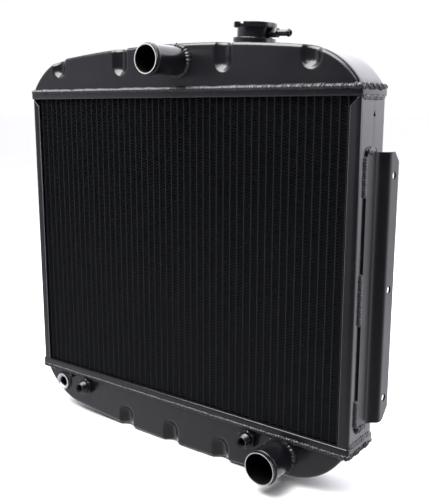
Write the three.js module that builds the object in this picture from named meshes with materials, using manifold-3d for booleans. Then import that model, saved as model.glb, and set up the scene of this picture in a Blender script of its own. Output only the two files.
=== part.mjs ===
// Downflow car radiator: finned core, two header trays, two pressed tanks, side plates, bolting
// brackets, hose necks, filler neck, oil cooler and the weld beads that join them.
// Millimetres. X is the width, +Y points to the back, +Z is up. The drawing plane z = 0 is the top
// face of the lower header and y = 0 is the front face of the side plates; the whole assembly is
// moved at the end so that the origin lies under the middle of the bounding box.
import * as THREE from 'three';
import { mergeVertices } from 'three/addons/utils/BufferGeometryUtils.js';
import Module from 'manifold-3d';

// Core
const TUBE_COUNT = 49;
const TUBE_PITCH = 11.1125;
const TUBE_THICKNESS = 2.2;
const CORE_HEIGHT = 427;
const CORE_FRONT = 4;
const CORE_BACK = 63.3;
const FIN_RECESS = 1.2;
const END_FIN_WIDTH = TUBE_PITCH - TUBE_THICKNESS;
const END_STRIP_THICKNESS = 1.6;

// Side plates
const HALF_WIDTH = 284;
const PLATE_DEPTH = 67.3;
const PLATE_THICKNESS = 2;
const PLATE_FLANGE = 14;
const PLATE_BEND = 4.5;
const MARK_WIDTH = 6.4;
const MARK_HEIGHT = 6.9;
const MARK_Y = 36.4;
const MARK_Z = 404.5;

// Header trays
const TRAY_OVERHANG = 1.5;
const TRAY_THICKNESS = 2;
const TRAY_HEIGHT = 11.3;
const TRAY_CORNER = 5;
const TRAY_BEND = 2.5;

// Tanks
const TANK_FRONT = 0.8;
const TANK_BACK = 66.5;
const TANK_HALF_WIDTH = 282.6;
const TANK_WALL = 2;
const TANK_RIM = 5.5;
const TOP_CROWN_HEIGHT = 498.5;
const TOP_CROWN_RADIUS = 1960;
const TOP_SHOULDER_START = 208;
const TOP_SHOULDER_RADIUS = 100;
const BOTTOM_CROWN_HEIGHT = -75.5;
const BOTTOM_CROWN_RADIUS = 1800;
const BOTTOM_SHOULDER_START = 203;
const BOTTOM_SHOULDER_RADIUS = 95;
const DIMPLE_RADIUS = 15.5;
const DIMPLE_DEPTH = 7.2;
const TOP_DIMPLES = [-219, -91, 90, 218];
const BOTTOM_DIMPLES = [-94, -3.5, 88];
const TOP_DIMPLE_CENTRE = 472.8;
const BOTTOM_DIMPLE_CENTRE = -54.5;

// Hose necks
const INLET = { x: 15, z: 474.8, radius: 19.05, wall: 2, length: 62 };
const OUTLET = { x: 185, z: -37.1, radius: 22.2, wall: 2, length: 47.5 };

// Filler neck, drawn upright and then leaned over to stand square on the crown
const NECK_X = 115;
const NECK_Y = 35;
const NECK_BASE_RADIUS = 27.75;
const NECK_BARREL_RADIUS = 22.9;
const NECK_LIP_RADIUS = 28;
const NECK_BASE_HEIGHT = 6;
const NECK_HEIGHT = 25;
const NECK_BORE = 20.4;
const NECK_SEAT_BORE = 16;
const NECK_NOTCHES = [255, 75];
const NIPPLE_HEIGHT = 12.8;
const NIPPLE_RADIUS = 3.9;

// Oil cooler and its fittings
const FITTING_X = [-180.5, 136];
const FITTING_Z = -27;
const FITTING_RADIUS = 9.3;
const FITTING_BORE = 5.4;
const FITTING_FRONT = -17;
const NUT_ACROSS_FLATS = 25.4;
const NUT_THICKNESS = 6.4;
const WASHER_RADIUS = 13.6;
const WASHER_THICKNESS = 1.4;
const COOLER_RADIUS = 15;
const COOLER_Y = 36;

// Drain bung and the small screw beside it
const BUNG = { x: -235.5, z: -32, radius: 13.6, front: -3.6, bore: 7.2 };
const SCREW = { x: -215.5, z: -18.6, radius: 2.9, front: -4.6 };

// Bolting brackets
const BRACKET_LOW = 20;
const BRACKET_HIGH = 362.7;
const BRACKET_THICKNESS = 2.5;
const BRACKET_LEG_FRONT = 17.5;
const BRACKET_BEND_Y = 50;
const BRACKET_OUT = 298.6;
const BRACKET_BACK = 80;
const BRACKET_HOLES = [50, 192, 334];
const BRACKET_HOLE_RADIUS = 5;
const BRACKET_HOLE_Y = 67.5;
const BRACKET_STITCHES = [[22, 60], [153, 220], [309, 360]];

const FINISHES = {
  blackCoat: { color: '#1f2022', roughness: 0.38, metalness: 0.0 },
  blackWeld: { color: '#26272a', roughness: 0.3, metalness: 0.0 },
  coreBlack: { color: '#141516', roughness: 0.55, metalness: 0.1 },
  bareMetal: { color: '#c9cbcc', roughness: 0.28, metalness: 1.0 },
  hiddenMetal: { color: '#9fa2a4', roughness: 0.45, metalness: 1.0 },
};

const wasm = await Module();
wasm.setup();

/** Merge equal corners so that a geometry becomes one closed net. */
function net(geometry) {
  const copy = geometry.clone();
  copy.deleteAttribute('normal');
  copy.deleteAttribute('uv');
  return mergeVertices(copy, 1e-4);
}

/** Turn a geometry into a solid for cutting and joining, faces outwards. */
function solid(geometry) {
  const closed = net(geometry);
  const corners = new Float32Array(closed.attributes.position.array);
  const faces = new Uint32Array(closed.index.array);
  let volume = 0;
  const [a, b, c] = [new THREE.Vector3(), new THREE.Vector3(), new THREE.Vector3()];
  for (let i = 0; i < faces.length; i += 3) {
    a.fromArray(corners, faces[i] * 3);
    b.fromArray(corners, faces[i + 1] * 3);
    c.fromArray(corners, faces[i + 2] * 3);
    volume += a.dot(b.cross(c));
  }
  if (volume < 0) {
    for (let i = 0; i < faces.length; i += 3) {
      [faces[i], faces[i + 1]] = [faces[i + 1], faces[i]];
    }
  }
  return new wasm.Manifold(new wasm.Mesh({ numProp: 3, vertProperties: corners, triVerts: faces }));
}

/** Turn a solid back into a geometry. */
function surface(body) {
  const mesh = body.getMesh();
  const geometry = new THREE.BufferGeometry();
  const corners = new Float32Array((mesh.vertProperties.length / mesh.numProp) * 3);
  for (let i = 0; i < corners.length / 3; i += 1) {
    for (let k = 0; k < 3; k += 1) {
      corners[i * 3 + k] = mesh.vertProperties[i * mesh.numProp + k];
    }
  }
  geometry.setAttribute('position', new THREE.BufferAttribute(corners, 3));
  geometry.setIndex(new THREE.BufferAttribute(new Uint32Array(mesh.triVerts), 1));
  geometry.computeVertexNormals();
  return geometry;
}

/** Closed outline from a list of [a, b] points. */
function outline(points) {
  return new THREE.Shape(points.map(([a, b]) => new THREE.Vector2(a, b)));
}

/** Points on an arc about (cx, cy) from one angle to another, in degrees, both ends included. */
function arc(cx, cy, radius, from, to, steps) {
  const points = [];
  for (let i = 0; i <= steps; i += 1) {
    const angle = THREE.MathUtils.degToRad(from + ((to - from) * i) / steps);
    points.push([cx + radius * Math.cos(angle), cy + radius * Math.sin(angle)]);
  }
  return points;
}

/** Rectangle with rounded corners. */
function roundedRectangle(x0, y0, x1, y1, radius, steps = 4) {
  return [
    ...arc(x1 - radius, y0 + radius, radius, -90, 0, steps),
    ...arc(x1 - radius, y1 - radius, radius, 0, 90, steps),
    ...arc(x0 + radius, y1 - radius, radius, 90, 180, steps),
    ...arc(x0 + radius, y0 + radius, radius, 180, 270, steps),
  ];
}

/** Extrude an outline drawn in X and Y upwards from z0 to z1. */
function upright(points, z0, z1) {
  const geometry = new THREE.ExtrudeGeometry(outline(points), { depth: z1 - z0, bevelEnabled: false });
  return solid(geometry.translate(0, 0, z0));
}

/** Extrude an outline drawn in X and Z along Y from y0 to y1. */
function lengthwise(points, y0, y1) {
  const geometry = new THREE.ExtrudeGeometry(outline(points), { depth: y1 - y0, bevelEnabled: false });
  return solid(geometry.rotateX(Math.PI / 2).translate(0, y1, 0));
}

/** Extrude an outline drawn in Y and Z along X from x0 to x1. */
function crosswise(points, x0, x1) {
  const geometry = new THREE.ExtrudeGeometry(outline(points), { depth: x1 - x0, bevelEnabled: false });
  return solid(geometry.rotateX(Math.PI / 2).rotateZ(Math.PI / 2).translate(x0, 0, 0));
}

/** Box between two corners. */
function block(low, high) {
  const size = high.map((value, i) => value - low[i]);
  const centre = high.map((value, i) => (value + low[i]) / 2);
  return solid(new THREE.BoxGeometry(...size).translate(...centre));
}

/** Turn a closed [radius, height] profile about the Z axis. */
function turned(profile, segments = 40) {
  const loop = [...profile, profile[0]];
  const points = loop.map(([radius, height]) => new THREE.Vector2(radius, height));
  return new THREE.LatheGeometry(points, segments).rotateX(Math.PI / 2);
}

/** The same, but turned about an axis that runs along Y through (x, z); height becomes y. */
function turnedForward(profile, x, z, segments = 40) {
  const loop = [...profile, profile[0]];
  const points = loop.map(([radius, height]) => new THREE.Vector2(radius, height));
  return solid(new THREE.LatheGeometry(points, segments).translate(x, 0, z));
}

/** Round bar along Y through (x, z). */
function barForward(x, z, radius, y0, y1, segments = 40) {
  const bar = new THREE.CylinderGeometry(radius, radius, y1 - y0, segments);
  return solid(bar.translate(x, (y0 + y1) / 2, z));
}

/** Swap left and right. */
function mirrored(body) {
  return body.mirror([1, 0, 0]);
}

// ---------------------------------------------------------------------------- core and plates

/** Flat tubes and folded fins as one brazed block: rounded tube noses stand proud of the fins. */
function core() {
  const half = TUBE_THICKNESS / 2;
  const nose = 1.1;
  const firstTube = -((TUBE_COUNT - 1) / 2) * TUBE_PITCH;
  const edge = -firstTube + half + END_FIN_WIDTH;
  const front = [[-edge, CORE_FRONT + FIN_RECESS]];
  const back = [[-edge, CORE_BACK - FIN_RECESS]];
  for (let i = 0; i < TUBE_COUNT; i += 1) {
    const x = firstTube + i * TUBE_PITCH;
    const offsets = [[-half, FIN_RECESS], [-half, nose * 0.6], [-half * 0.5, 0], [half * 0.5, 0],
      [half, nose * 0.6], [half, FIN_RECESS]];
    for (const [dx, dy] of offsets) {
      front.push([x + dx, CORE_FRONT + dy]);
      back.push([x + dx, CORE_BACK - dy]);
    }
  }
  front.push([edge, CORE_FRONT + FIN_RECESS]);
  back.push([edge, CORE_BACK - FIN_RECESS]);
  return upright([...front, ...back.reverse()], 0, CORE_HEIGHT);
}

/** Thin strip brazed to the outermost fins. */
function coreEndStrip() {
  const inner = ((TUBE_COUNT - 1) / 2) * TUBE_PITCH + TUBE_THICKNESS / 2 + END_FIN_WIDTH;
  return block(
    [inner, CORE_FRONT + FIN_RECESS, 0],
    [inner + END_STRIP_THICKNESS, CORE_BACK - FIN_RECESS, CORE_HEIGHT],
  );
}

/** Channel with front and back flanges folded towards the core; flange tops are mitred. */
function sidePlate() {
  const inside = HALF_WIDTH - PLATE_THICKNESS;
  const inner = PLATE_BEND - PLATE_THICKNESS;
  const lip = HALF_WIDTH - PLATE_FLANGE;
  const out = PLATE_BEND;
  const profile = [
    [lip, 0],
    ...arc(HALF_WIDTH - out, out, out, -90, 0, 4),
    ...arc(HALF_WIDTH - out, PLATE_DEPTH - out, out, 0, 90, 4),
    [lip, PLATE_DEPTH],
    [lip, PLATE_DEPTH - PLATE_THICKNESS],
    ...arc(inside - inner, PLATE_DEPTH - PLATE_THICKNESS - inner, inner, 90, 0, 3),
    ...arc(inside - inner, PLATE_THICKNESS + inner, inner, 0, -90, 3),
    [lip, PLATE_THICKNESS],
  ];
  const channel = upright(profile, 0, CORE_HEIGHT);
  const corner = HALF_WIDTH - 3;
  const drop = corner - lip + 1;
  const mitre = lengthwise(
    [[lip - 1, CORE_HEIGHT - drop], [corner, CORE_HEIGHT], [corner, CORE_HEIGHT + 5],
      [lip - 1, CORE_HEIGHT + 5]],
    -5,
    PLATE_DEPTH + 5,
  );
  return channel.subtract(mitre);
}

/** Small triangular punched hole in the face of the right side plate. */
function punchedMark() {
  return crosswise(
    [[MARK_Y - MARK_WIDTH / 2, MARK_Z], [MARK_Y + MARK_WIDTH / 2, MARK_Z],
      [MARK_Y, MARK_Z + MARK_HEIGHT]],
    HALF_WIDTH - 10,
    HALF_WIDTH + 10,
  );
}

/** Tube sheet of the upper end: a tray whose flange turns up around the tank. */
function headerTray() {
  const x = HALF_WIDTH + TRAY_OVERHANG;
  const y0 = -TRAY_OVERHANG;
  const y1 = PLATE_DEPTH + TRAY_OVERHANG;
  const bend = TRAY_BEND;
  const shell = new THREE.ExtrudeGeometry(outline(roundedRectangle(-x, y0, x, y1, TRAY_CORNER)), {
    depth: TRAY_HEIGHT * 2,
    bevelEnabled: true,
    bevelThickness: bend,
    bevelSize: bend,
    bevelOffset: -bend,
    bevelSegments: 3,
  });
  shell.translate(0, 0, bend);
  const t = TRAY_THICKNESS;
  const hollow = upright(
    roundedRectangle(-x + t, y0 + t, x - t, y1 - t, TRAY_CORNER - t),
    t,
    TRAY_HEIGHT * 3,
  );
  const above = block([-x - 5, y0 - 5, TRAY_HEIGHT], [x + 5, y1 + 5, TRAY_HEIGHT * 4]);
  return solid(shell).subtract(hollow).subtract(above);
}

// ------------------------------------------------------------------------------------- tanks

/** Half outline of a tank from its middle outwards: crown arc, shoulder arc, straight skirt. */
function tankEdge(crownRadius, start, shoulderRadius, skirt) {
  const points = [];
  const crownSteps = 6;
  for (let i = 0; i < crownSteps; i += 1) {
    const x = (start * (i + 0.5)) / crownSteps;
    points.push([x, -(x * x) / (2 * crownRadius)]);
  }
  const slope = Math.atan(start / crownRadius);
  const centreX = start - shoulderRadius * Math.sin(slope);
  const centreZ = -(start * start) / (2 * crownRadius) - shoulderRadius * Math.cos(slope);
  const end = Math.asin((TANK_HALF_WIDTH - centreX) / shoulderRadius);
  const shoulderSteps = 7;
  for (let i = 0; i <= shoulderSteps; i += 1) {
    const angle = slope + ((end - slope) * i) / shoulderSteps;
    points.push([
      centreX + shoulderRadius * Math.sin(angle),
      centreZ + shoulderRadius * Math.cos(angle),
    ]);
  }
  points.push([TANK_HALF_WIDTH, skirt]);
  return points;
}

/** Full outline, mirrored about the middle; the crown lies at z = 0 and the tank below it. */
function tankOutline(crownRadius, start, shoulderRadius, skirt) {
  const right = tankEdge(crownRadius, start, shoulderRadius, skirt);
  const left = right.map(([x, z]) => [-x, z]).reverse();
  return [...left, ...right].reverse();
}

/** Outline moved inwards by the wall thickness. */
function insetOutline(points, distance) {
  const count = points.length;
  return points.map((point, i) => {
    const before = new THREE.Vector2(...points[(i + count - 1) % count]);
    const here = new THREE.Vector2(...point);
    const after = new THREE.Vector2(...points[(i + 1) % count]);
    const first = here.clone().sub(before).normalize();
    const second = after.clone().sub(here).normalize();
    const middle = new THREE.Vector2(-first.y - second.y, first.x + second.x).normalize();
    const reach = distance / (middle.x * -first.y + middle.y * first.x);
    return [here.x + middle.x * reach, here.y + middle.y * reach];
  });
}

/** Block with the tank's outline in X and Z and rounded rims at its front and back. */
function rimmedBlock(points, y0, y1, rim) {
  const geometry = new THREE.ExtrudeGeometry(outline(points), {
    depth: y1 - y0 - 2 * rim,
    bevelEnabled: true,
    bevelThickness: rim,
    bevelSize: rim,
    bevelOffset: -rim,
    bevelSegments: 4,
  });
  return solid(geometry.rotateX(Math.PI / 2).translate(0, y1 - rim, 0));
}

/** Upright round-ended groove in the front rim, running off past the crown. */
function dimple(x, z, radius) {
  const length = 120;
  const capsule = new THREE.CapsuleGeometry(radius, length, 5, 24);
  const y = TANK_FRONT + DIMPLE_DEPTH - DIMPLE_RADIUS;
  return solid(capsule.rotateX(Math.PI / 2).translate(x, y, z + length / 2));
}

/** Pressed tank, open towards its header, drawn with the crown up. */
function tank(points, skirt, dimples, dimpleZ) {
  const wall = TANK_WALL;
  let outer = rimmedBlock(points, TANK_FRONT, TANK_BACK, TANK_RIM);
  let inner = rimmedBlock(
    insetOutline(points, wall),
    TANK_FRONT + wall,
    TANK_BACK - wall,
    TANK_RIM - wall,
  );
  for (const x of dimples) {
    outer = outer.subtract(dimple(x, dimpleZ, DIMPLE_RADIUS));
    inner = inner.subtract(dimple(x, dimpleZ, DIMPLE_RADIUS + wall));
  }
  const below = block([-400, -50, skirt - 200], [400, 150, skirt]);
  return outer.subtract(inner).subtract(below);
}

/** Bead of weld on the edge of a header flange, all round the tank. */
function tankWeld() {
  const gap = 0.05;
  const width = TANK_HALF_WIDTH + gap;
  const outer = roundedRectangle(
    -HALF_WIDTH - TRAY_OVERHANG + 0.1,
    -TRAY_OVERHANG + 0.1,
    HALF_WIDTH + TRAY_OVERHANG - 0.1,
    PLATE_DEPTH + TRAY_OVERHANG - 0.1,
    TRAY_CORNER,
  );
  const ring = new THREE.ExtrudeGeometry(outline(outer), {
    depth: 2,
    bevelEnabled: true,
    bevelThickness: 0.9,
    bevelSize: 0.9,
    bevelOffset: -0.9,
    bevelSegments: 2,
  });
  const hollow = upright(
    roundedRectangle(-width, TANK_FRONT - gap, width, TANK_BACK + gap, TANK_RIM),
    -10,
    20,
  );
  const below = block([-400, -50, -10], [400, 150, 0]);
  return solid(ring.translate(0, 0, -0.9)).subtract(hollow).subtract(below);
}

/** Bead of weld between the top edge of a side plate and the header above it. */
function plateWeld() {
  const x = HALF_WIDTH + 0.02;
  const profile = [[x, -0.1], [x, -5.2], [x + 1, -5], [x + 2.1, -3.6], [x + 2.3, -1.8], [x + 1.6, -0.1]];
  return lengthwise(profile, 4, PLATE_DEPTH - 3);
}

// ---------------------------------------------------------------------------- necks and bungs

/** Hose neck: plain tube with a rolled bead behind its open rim. */
function hoseNeck({ x, z, radius, wall, length }) {
  const front = -length;
  const bead = 1.5;
  const profile = [
    [radius - wall, TANK_FRONT],
    [radius - wall, front + 0.4],
    [radius - wall + 0.4, front],
    [radius - 0.4, front],
    [radius, front + 0.4],
    [radius, front + 4.6],
    [radius + bead * 0.75, front + 5.4],
    [radius + bead, front + 6.8],
    [radius + bead * 0.75, front + 8.2],
    [radius, front + 9],
    [radius, TANK_FRONT],
  ];
  return turnedForward(profile, x, z, 40);
}

/** Fillet of weld around a round part that stands on a flat front wall. */
function frontWeld(x, z, radius, size, wallY) {
  const r = radius + 0.05;
  const profile = [
    [r, wallY - 0.02],
    [r, wallY - size],
    [r + size * 0.45, wallY - size * 0.8],
    [r + size * 0.85, wallY - size * 0.4],
    [r + size, wallY - 0.02],
  ];
  return turnedForward(profile, x, z, 40);
}

/** Filler neck: base flange, barrel, inner seat, and a lip with two notches and turned-down cams. */
function fillerNeck() {
  const top = NECK_HEIGHT;
  const lipUnder = top - 3;
  const profile = [
    [NECK_SEAT_BORE, 0],
    [NECK_BASE_RADIUS, 0],
    [NECK_BASE_RADIUS, NECK_BASE_HEIGHT - 0.8],
    [NECK_BASE_RADIUS - 0.8, NECK_BASE_HEIGHT],
    [NECK_BARREL_RADIUS, NECK_BASE_HEIGHT],
    [NECK_BARREL_RADIUS, lipUnder],
    [NECK_LIP_RADIUS, lipUnder],
    [NECK_LIP_RADIUS, top - 0.8],
    [NECK_LIP_RADIUS - 0.8, top],
    [NECK_BORE + 0.6, top],
    [NECK_BORE, top - 0.6],
    [NECK_BORE, 7],
    [NECK_SEAT_BORE + 1.2, 6.4],
    [NECK_SEAT_BORE, 5.6],
  ];
  let neck = solid(turned(profile, 48));
  const skirt = solid(turned([
    [NECK_LIP_RADIUS - 1.6, lipUnder - 3.4],
    [NECK_LIP_RADIUS, lipUnder - 3.4],
    [NECK_LIP_RADIUS, lipUnder + 1],
    [NECK_LIP_RADIUS - 1.6, lipUnder + 1],
  ], 48));
  neck = neck.add(skirt);
  const above = block([-80, -80, lipUnder], [80, 80, 80]);
  for (const bearing of NECK_NOTCHES) {
    neck = neck.subtract(lipNotch(bearing, 30, lipUnder - 6));
    neck = neck.subtract(sector(bearing, 30).intersect(above));
  }
  return neck;
}

/** Upright wedge about the neck axis, centred on one bearing and spanning an angle, in degrees. */
function sector(middle, span) {
  return upright([[0, 0], ...arc(0, 0, 60, middle - span / 2, middle + span / 2, 6)], -5, 60);
}

/** Part of a wedge that lies outside the barrel and above a height: one notch in the lip. */
function lipNotch(middle, span, low) {
  const barrel = upright(arc(0, 0, NECK_BARREL_RADIUS + 0.4, 0, 352.5, 47), -10, 80);
  const above = block([-80, -80, low], [80, 80, 80]);
  return sector(middle, span).subtract(barrel).intersect(above);
}

/** Overflow nipple: threaded hexagon against the barrel, plain tube, small barb at the end. */
function overflowNipple() {
  const start = NECK_BARREL_RADIUS + 0.4;
  const hexEnd = start + 12;
  const tubeEnd = hexEnd + 14;
  const end = tubeEnd + 4.2;
  const across = 5.6 / Math.cos(Math.PI / 6);
  const hexagon = new THREE.CylinderGeometry(across, across, hexEnd - start - 1.2, 6);
  hexagon.rotateZ(-Math.PI / 2).rotateX(Math.PI / 6).translate((start + 1.2 + hexEnd) / 2, 0, 0);
  const bore = 2.5;
  const profile = [
    [bore, start],
    [5.2, start],
    [5.2, start + 3],
    [NIPPLE_RADIUS, start + 4],
    [NIPPLE_RADIUS, tubeEnd],
    [NIPPLE_RADIUS + 0.9, tubeEnd + 0.6],
    [NIPPLE_RADIUS + 0.9, tubeEnd + 1.6],
    [NIPPLE_RADIUS - 0.4, end],
    [bore, end],
  ];
  const loop = [...profile, profile[0]];
  const points = loop.map(([radius, height]) => new THREE.Vector2(radius, height));
  const tube = new THREE.LatheGeometry(points, 24).rotateZ(-Math.PI / 2);
  const hole = new THREE.CylinderGeometry(bore, bore, 80, 24).rotateZ(-Math.PI / 2).translate(40, 0, 0);
  return solid(tube).add(solid(hexagon).subtract(solid(hole)));
}

/** Drain bung: a thick ring with a countersunk bore. */
function drainBung() {
  const { x, z, radius, front, bore } = BUNG;
  return turnedForward([
    [bore, TANK_FRONT],
    [bore, front + 3],
    [10.2, front],
    [radius - 0.7, front],
    [radius, front + 0.7],
    [radius, TANK_FRONT],
  ], x, z, 36);
}

/** Head of the small screw beside the drain. */
function smallScrew() {
  const { x, z, radius, front } = SCREW;
  return turnedForward([
    [0, TANK_FRONT],
    [0, front + 0.6],
    [radius * 0.55, front],
    [radius - 0.5, front],
    [radius, front + 0.5],
    [radius, TANK_FRONT],
  ], x, z, 20);
}

/** Threaded body of an oil cooler fitting, through the tank wall. */
function coolerFitting(x) {
  return turnedForward([
    [FITTING_BORE, TANK_FRONT + TANK_WALL + 0.4],
    [FITTING_BORE, FITTING_FRONT + 1.4],
    [FITTING_BORE + 1.6, FITTING_FRONT],
    [FITTING_RADIUS - 0.9, FITTING_FRONT],
    [FITTING_RADIUS, FITTING_FRONT + 0.9],
    [FITTING_RADIUS, TANK_FRONT + TANK_WALL + 0.4],
  ], x, FITTING_Z, 28);
}

/** Hexagon locknut with chamfered corners, flats at top and bottom. */
function coolerNut(x) {
  const corner = NUT_ACROSS_FLATS / 2 / Math.cos(Math.PI / 6);
  const back = TANK_FRONT - WASHER_THICKNESS - 0.02;
  const front = back - NUT_THICKNESS;
  const hexagon = new THREE.CylinderGeometry(corner, corner, NUT_THICKNESS, 6);
  hexagon.rotateY(Math.PI / 6 + Math.PI / 3).translate(x, (front + back) / 2, FITTING_Z);
  const flat = NUT_ACROSS_FLATS / 2;
  const chamfer = turnedForward([
    [0, back],
    [0, front],
    [flat - 0.2, front],
    [corner + 0.2, front + 1.4],
    [corner + 0.2, back],
  ], x, FITTING_Z, 36);
  const bore = barForward(x, FITTING_Z, FITTING_RADIUS + 0.3, front - 2, back + 2, 28);
  return solid(hexagon).intersect(chamfer).subtract(bore);
}

/** Plain washer under the locknut. */
function coolerWasher(x) {
  return turnedForward([
    [FITTING_RADIUS + 0.3, TANK_FRONT],
    [FITTING_RADIUS + 0.3, TANK_FRONT - WASHER_THICKNESS],
    [WASHER_RADIUS - 0.3, TANK_FRONT - WASHER_THICKNESS],
    [WASHER_RADIUS, TANK_FRONT - WASHER_THICKNESS + 0.3],
    [WASHER_RADIUS, TANK_FRONT],
  ], x, FITTING_Z, 32);
}

/** Hollow oil cooler inside the bottom tank, with a boss behind each fitting. */
function oilCooler() {
  const [left, right] = FITTING_X;
  const length = right - left + 44;
  const middle = (left + right) / 2;
  const shell = new THREE.CylinderGeometry(COOLER_RADIUS, COOLER_RADIUS, length, 28);
  shell.rotateZ(Math.PI / 2).translate(middle, COOLER_Y, FITTING_Z);
  const inside = new THREE.CylinderGeometry(COOLER_RADIUS - 1.5, COOLER_RADIUS - 1.5, length - 4, 28);
  inside.rotateZ(Math.PI / 2).translate(middle, COOLER_Y, FITTING_Z);
  let cooler = solid(shell);
  const start = TANK_FRONT + TANK_WALL + 0.5;
  for (const x of FITTING_X) {
    cooler = cooler.add(barForward(x, FITTING_Z, 11, start, COOLER_Y, 28));
  }
  cooler = cooler.subtract(solid(inside));
  for (const x of FITTING_X) {
    cooler = cooler.subtract(barForward(x, FITTING_Z, FITTING_BORE, start - 2, COOLER_Y, 28));
  }
  return cooler;
}

// ---------------------------------------------------------------------------------- brackets

/** Z-section bracket: leg on the side plate, web stepping outwards, drilled outer flange. */
function bracket() {
  const t = BRACKET_THICKNESS;
  const base = HALF_WIDTH;
  const bend = 3;
  const out = BRACKET_OUT;
  const profile = [
    [base, BRACKET_LEG_FRONT],
    [base + t, BRACKET_LEG_FRONT],
    ...arc(base + t + bend, BRACKET_BEND_Y - bend, bend, 180, 97, 3),
    ...arc(out - bend - t, BRACKET_BEND_Y + 2.4 + bend + t, bend + t, -83, 0, 4),
    [out, BRACKET_BACK],
    [out - t, BRACKET_BACK],
    ...arc(out - bend - t, BRACKET_BEND_Y + 2.4 + bend + t, bend, 0, -83, 3),
    ...arc(base + t + bend, BRACKET_BEND_Y - bend, bend + t, 97, 180, 4),
  ];
  let body = upright(profile, BRACKET_LOW, BRACKET_HIGH);
  for (const z of BRACKET_HOLES) {
    const drill = new THREE.CylinderGeometry(BRACKET_HOLE_RADIUS, BRACKET_HOLE_RADIUS, 20, 24);
    drill.rotateZ(Math.PI / 2).translate(out, BRACKET_HOLE_Y, z);
    body = body.subtract(solid(drill));
  }
  const clipTop = crosswise(
    [[BRACKET_BACK - 12.5, BRACKET_HIGH + 0.01], [BRACKET_BACK + 5, BRACKET_HIGH - 17.5],
      [BRACKET_BACK + 5, BRACKET_HIGH + 5], [BRACKET_BACK - 12.5, BRACKET_HIGH + 5]],
    out - 10,
    out + 10,
  );
  const clipLow = crosswise(
    [[BRACKET_BACK - 17, BRACKET_LOW - 5], [BRACKET_BACK + 5, BRACKET_LOW - 5],
      [BRACKET_BACK + 5, BRACKET_LOW + 19.6], [BRACKET_BACK, BRACKET_LOW + 15],
      [BRACKET_BACK - 13, BRACKET_LOW + 1.6], [BRACKET_BACK - 17, BRACKET_LOW]],
    out - 10,
    out + 10,
  );
  return body.subtract(clipTop).subtract(clipLow);
}

/** Stitch of weld along the front edge of the bracket leg. */
function stitch(low, high) {
  const y = BRACKET_LEG_FRONT;
  const x = HALF_WIDTH + 0.02;
  const profile = [[x, y - 0.02], [x, y - 3], [x + 1.2, y - 2.6], [x + 2.3, y - 1.3], [x + 2.5, y - 0.02]];
  return upright(profile, low, high);
}

/** Run of weld across the end of the bracket leg; side is +1 above the bracket, -1 below it. */
function endRun(side) {
  const edge = side > 0 ? BRACKET_HIGH : BRACKET_LOW;
  const x = HALF_WIDTH + 0.02;
  const at = (dx, dz) => [x + dx, edge + side * (dz + 0.02)];
  const profile = [at(0, 0), at(0, 6.5), at(1.4, 6.2), at(3.1, 4.4), at(3.3, 1.8), at(2.4, 0)];
  return lengthwise(profile, BRACKET_LEG_FRONT + 1, BRACKET_BEND_Y - 6);
}

// ---------------------------------------------------------------------------------- assembly

const group = new THREE.Group();
group.name = 'car_radiator';

/** Add a solid to the assembly under a name, in one of the finishes. */
function place(name, body, finish) {
  const mesh = new THREE.Mesh(surface(body), new THREE.MeshStandardMaterial(FINISHES[finish]));
  mesh.name = name;
  group.add(mesh);
}

/** Add the right-hand solid and its mirror image. */
function placePair(name, body, finish) {
  place(`${name}_right`, body, finish);
  place(`${name}_left`, mirrored(body), finish);
}

place('core', core(), 'coreBlack');
placePair('core_end_strip', coreEndStrip(), 'coreBlack');
place('side_plate_right', sidePlate().subtract(punchedMark()), 'blackCoat');
place('side_plate_left', mirrored(sidePlate()), 'blackCoat');

const tray = headerTray();
place('upper_header', tray.translate([0, 0, CORE_HEIGHT]), 'blackCoat');
place('lower_header', tray.mirror([0, 0, 1]), 'blackCoat');

const skirtTop = CORE_HEIGHT + TRAY_THICKNESS + 0.3;
const topOutline = tankOutline(
  TOP_CROWN_RADIUS,
  TOP_SHOULDER_START,
  TOP_SHOULDER_RADIUS,
  -100,
).map(([x, z]) => [x, z + TOP_CROWN_HEIGHT]);
const lean = Math.atan(NECK_X / TOP_CROWN_RADIUS);
const leanDegrees = THREE.MathUtils.radToDeg(lean);
const neckFoot = TOP_CROWN_HEIGHT - (NECK_X * NECK_X) / (2 * TOP_CROWN_RADIUS) + 0.05;

/** Lean a part of the filler neck over and stand it on the crown. */
function onCrown(body) {
  return body.rotate([0, leanDegrees, 0]).translate([NECK_X, NECK_Y, neckFoot]);
}

const neckHole = solid(new THREE.CylinderGeometry(17, 17, 20, 32).rotateX(Math.PI / 2));
const topTank = tank(topOutline, skirtTop, TOP_DIMPLES, TOP_DIMPLE_CENTRE)
  .subtract(barForward(INLET.x, INLET.z, INLET.radius - INLET.wall, -10, 10))
  .subtract(onCrown(neckHole));
place('top_tank', topTank, 'blackCoat');

const bottomOutline = tankOutline(
  BOTTOM_CROWN_RADIUS,
  BOTTOM_SHOULDER_START,
  BOTTOM_SHOULDER_RADIUS,
  -100,
).map(([x, z]) => [x, z - BOTTOM_CROWN_HEIGHT]);
const skirtBottom = TRAY_THICKNESS + 0.3;
let bottomTank = tank(bottomOutline, skirtBottom, BOTTOM_DIMPLES, -BOTTOM_DIMPLE_CENTRE)
  .mirror([0, 0, 1])
  .subtract(barForward(OUTLET.x, OUTLET.z, OUTLET.radius - OUTLET.wall, -10, 10))
  .subtract(barForward(BUNG.x, BUNG.z, BUNG.bore, -10, 10, 36));
for (const x of FITTING_X) {
  bottomTank = bottomTank.subtract(barForward(x, FITTING_Z, FITTING_RADIUS + 0.3, -10, 10, 28));
}
place('bottom_tank', bottomTank, 'blackCoat');

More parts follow.
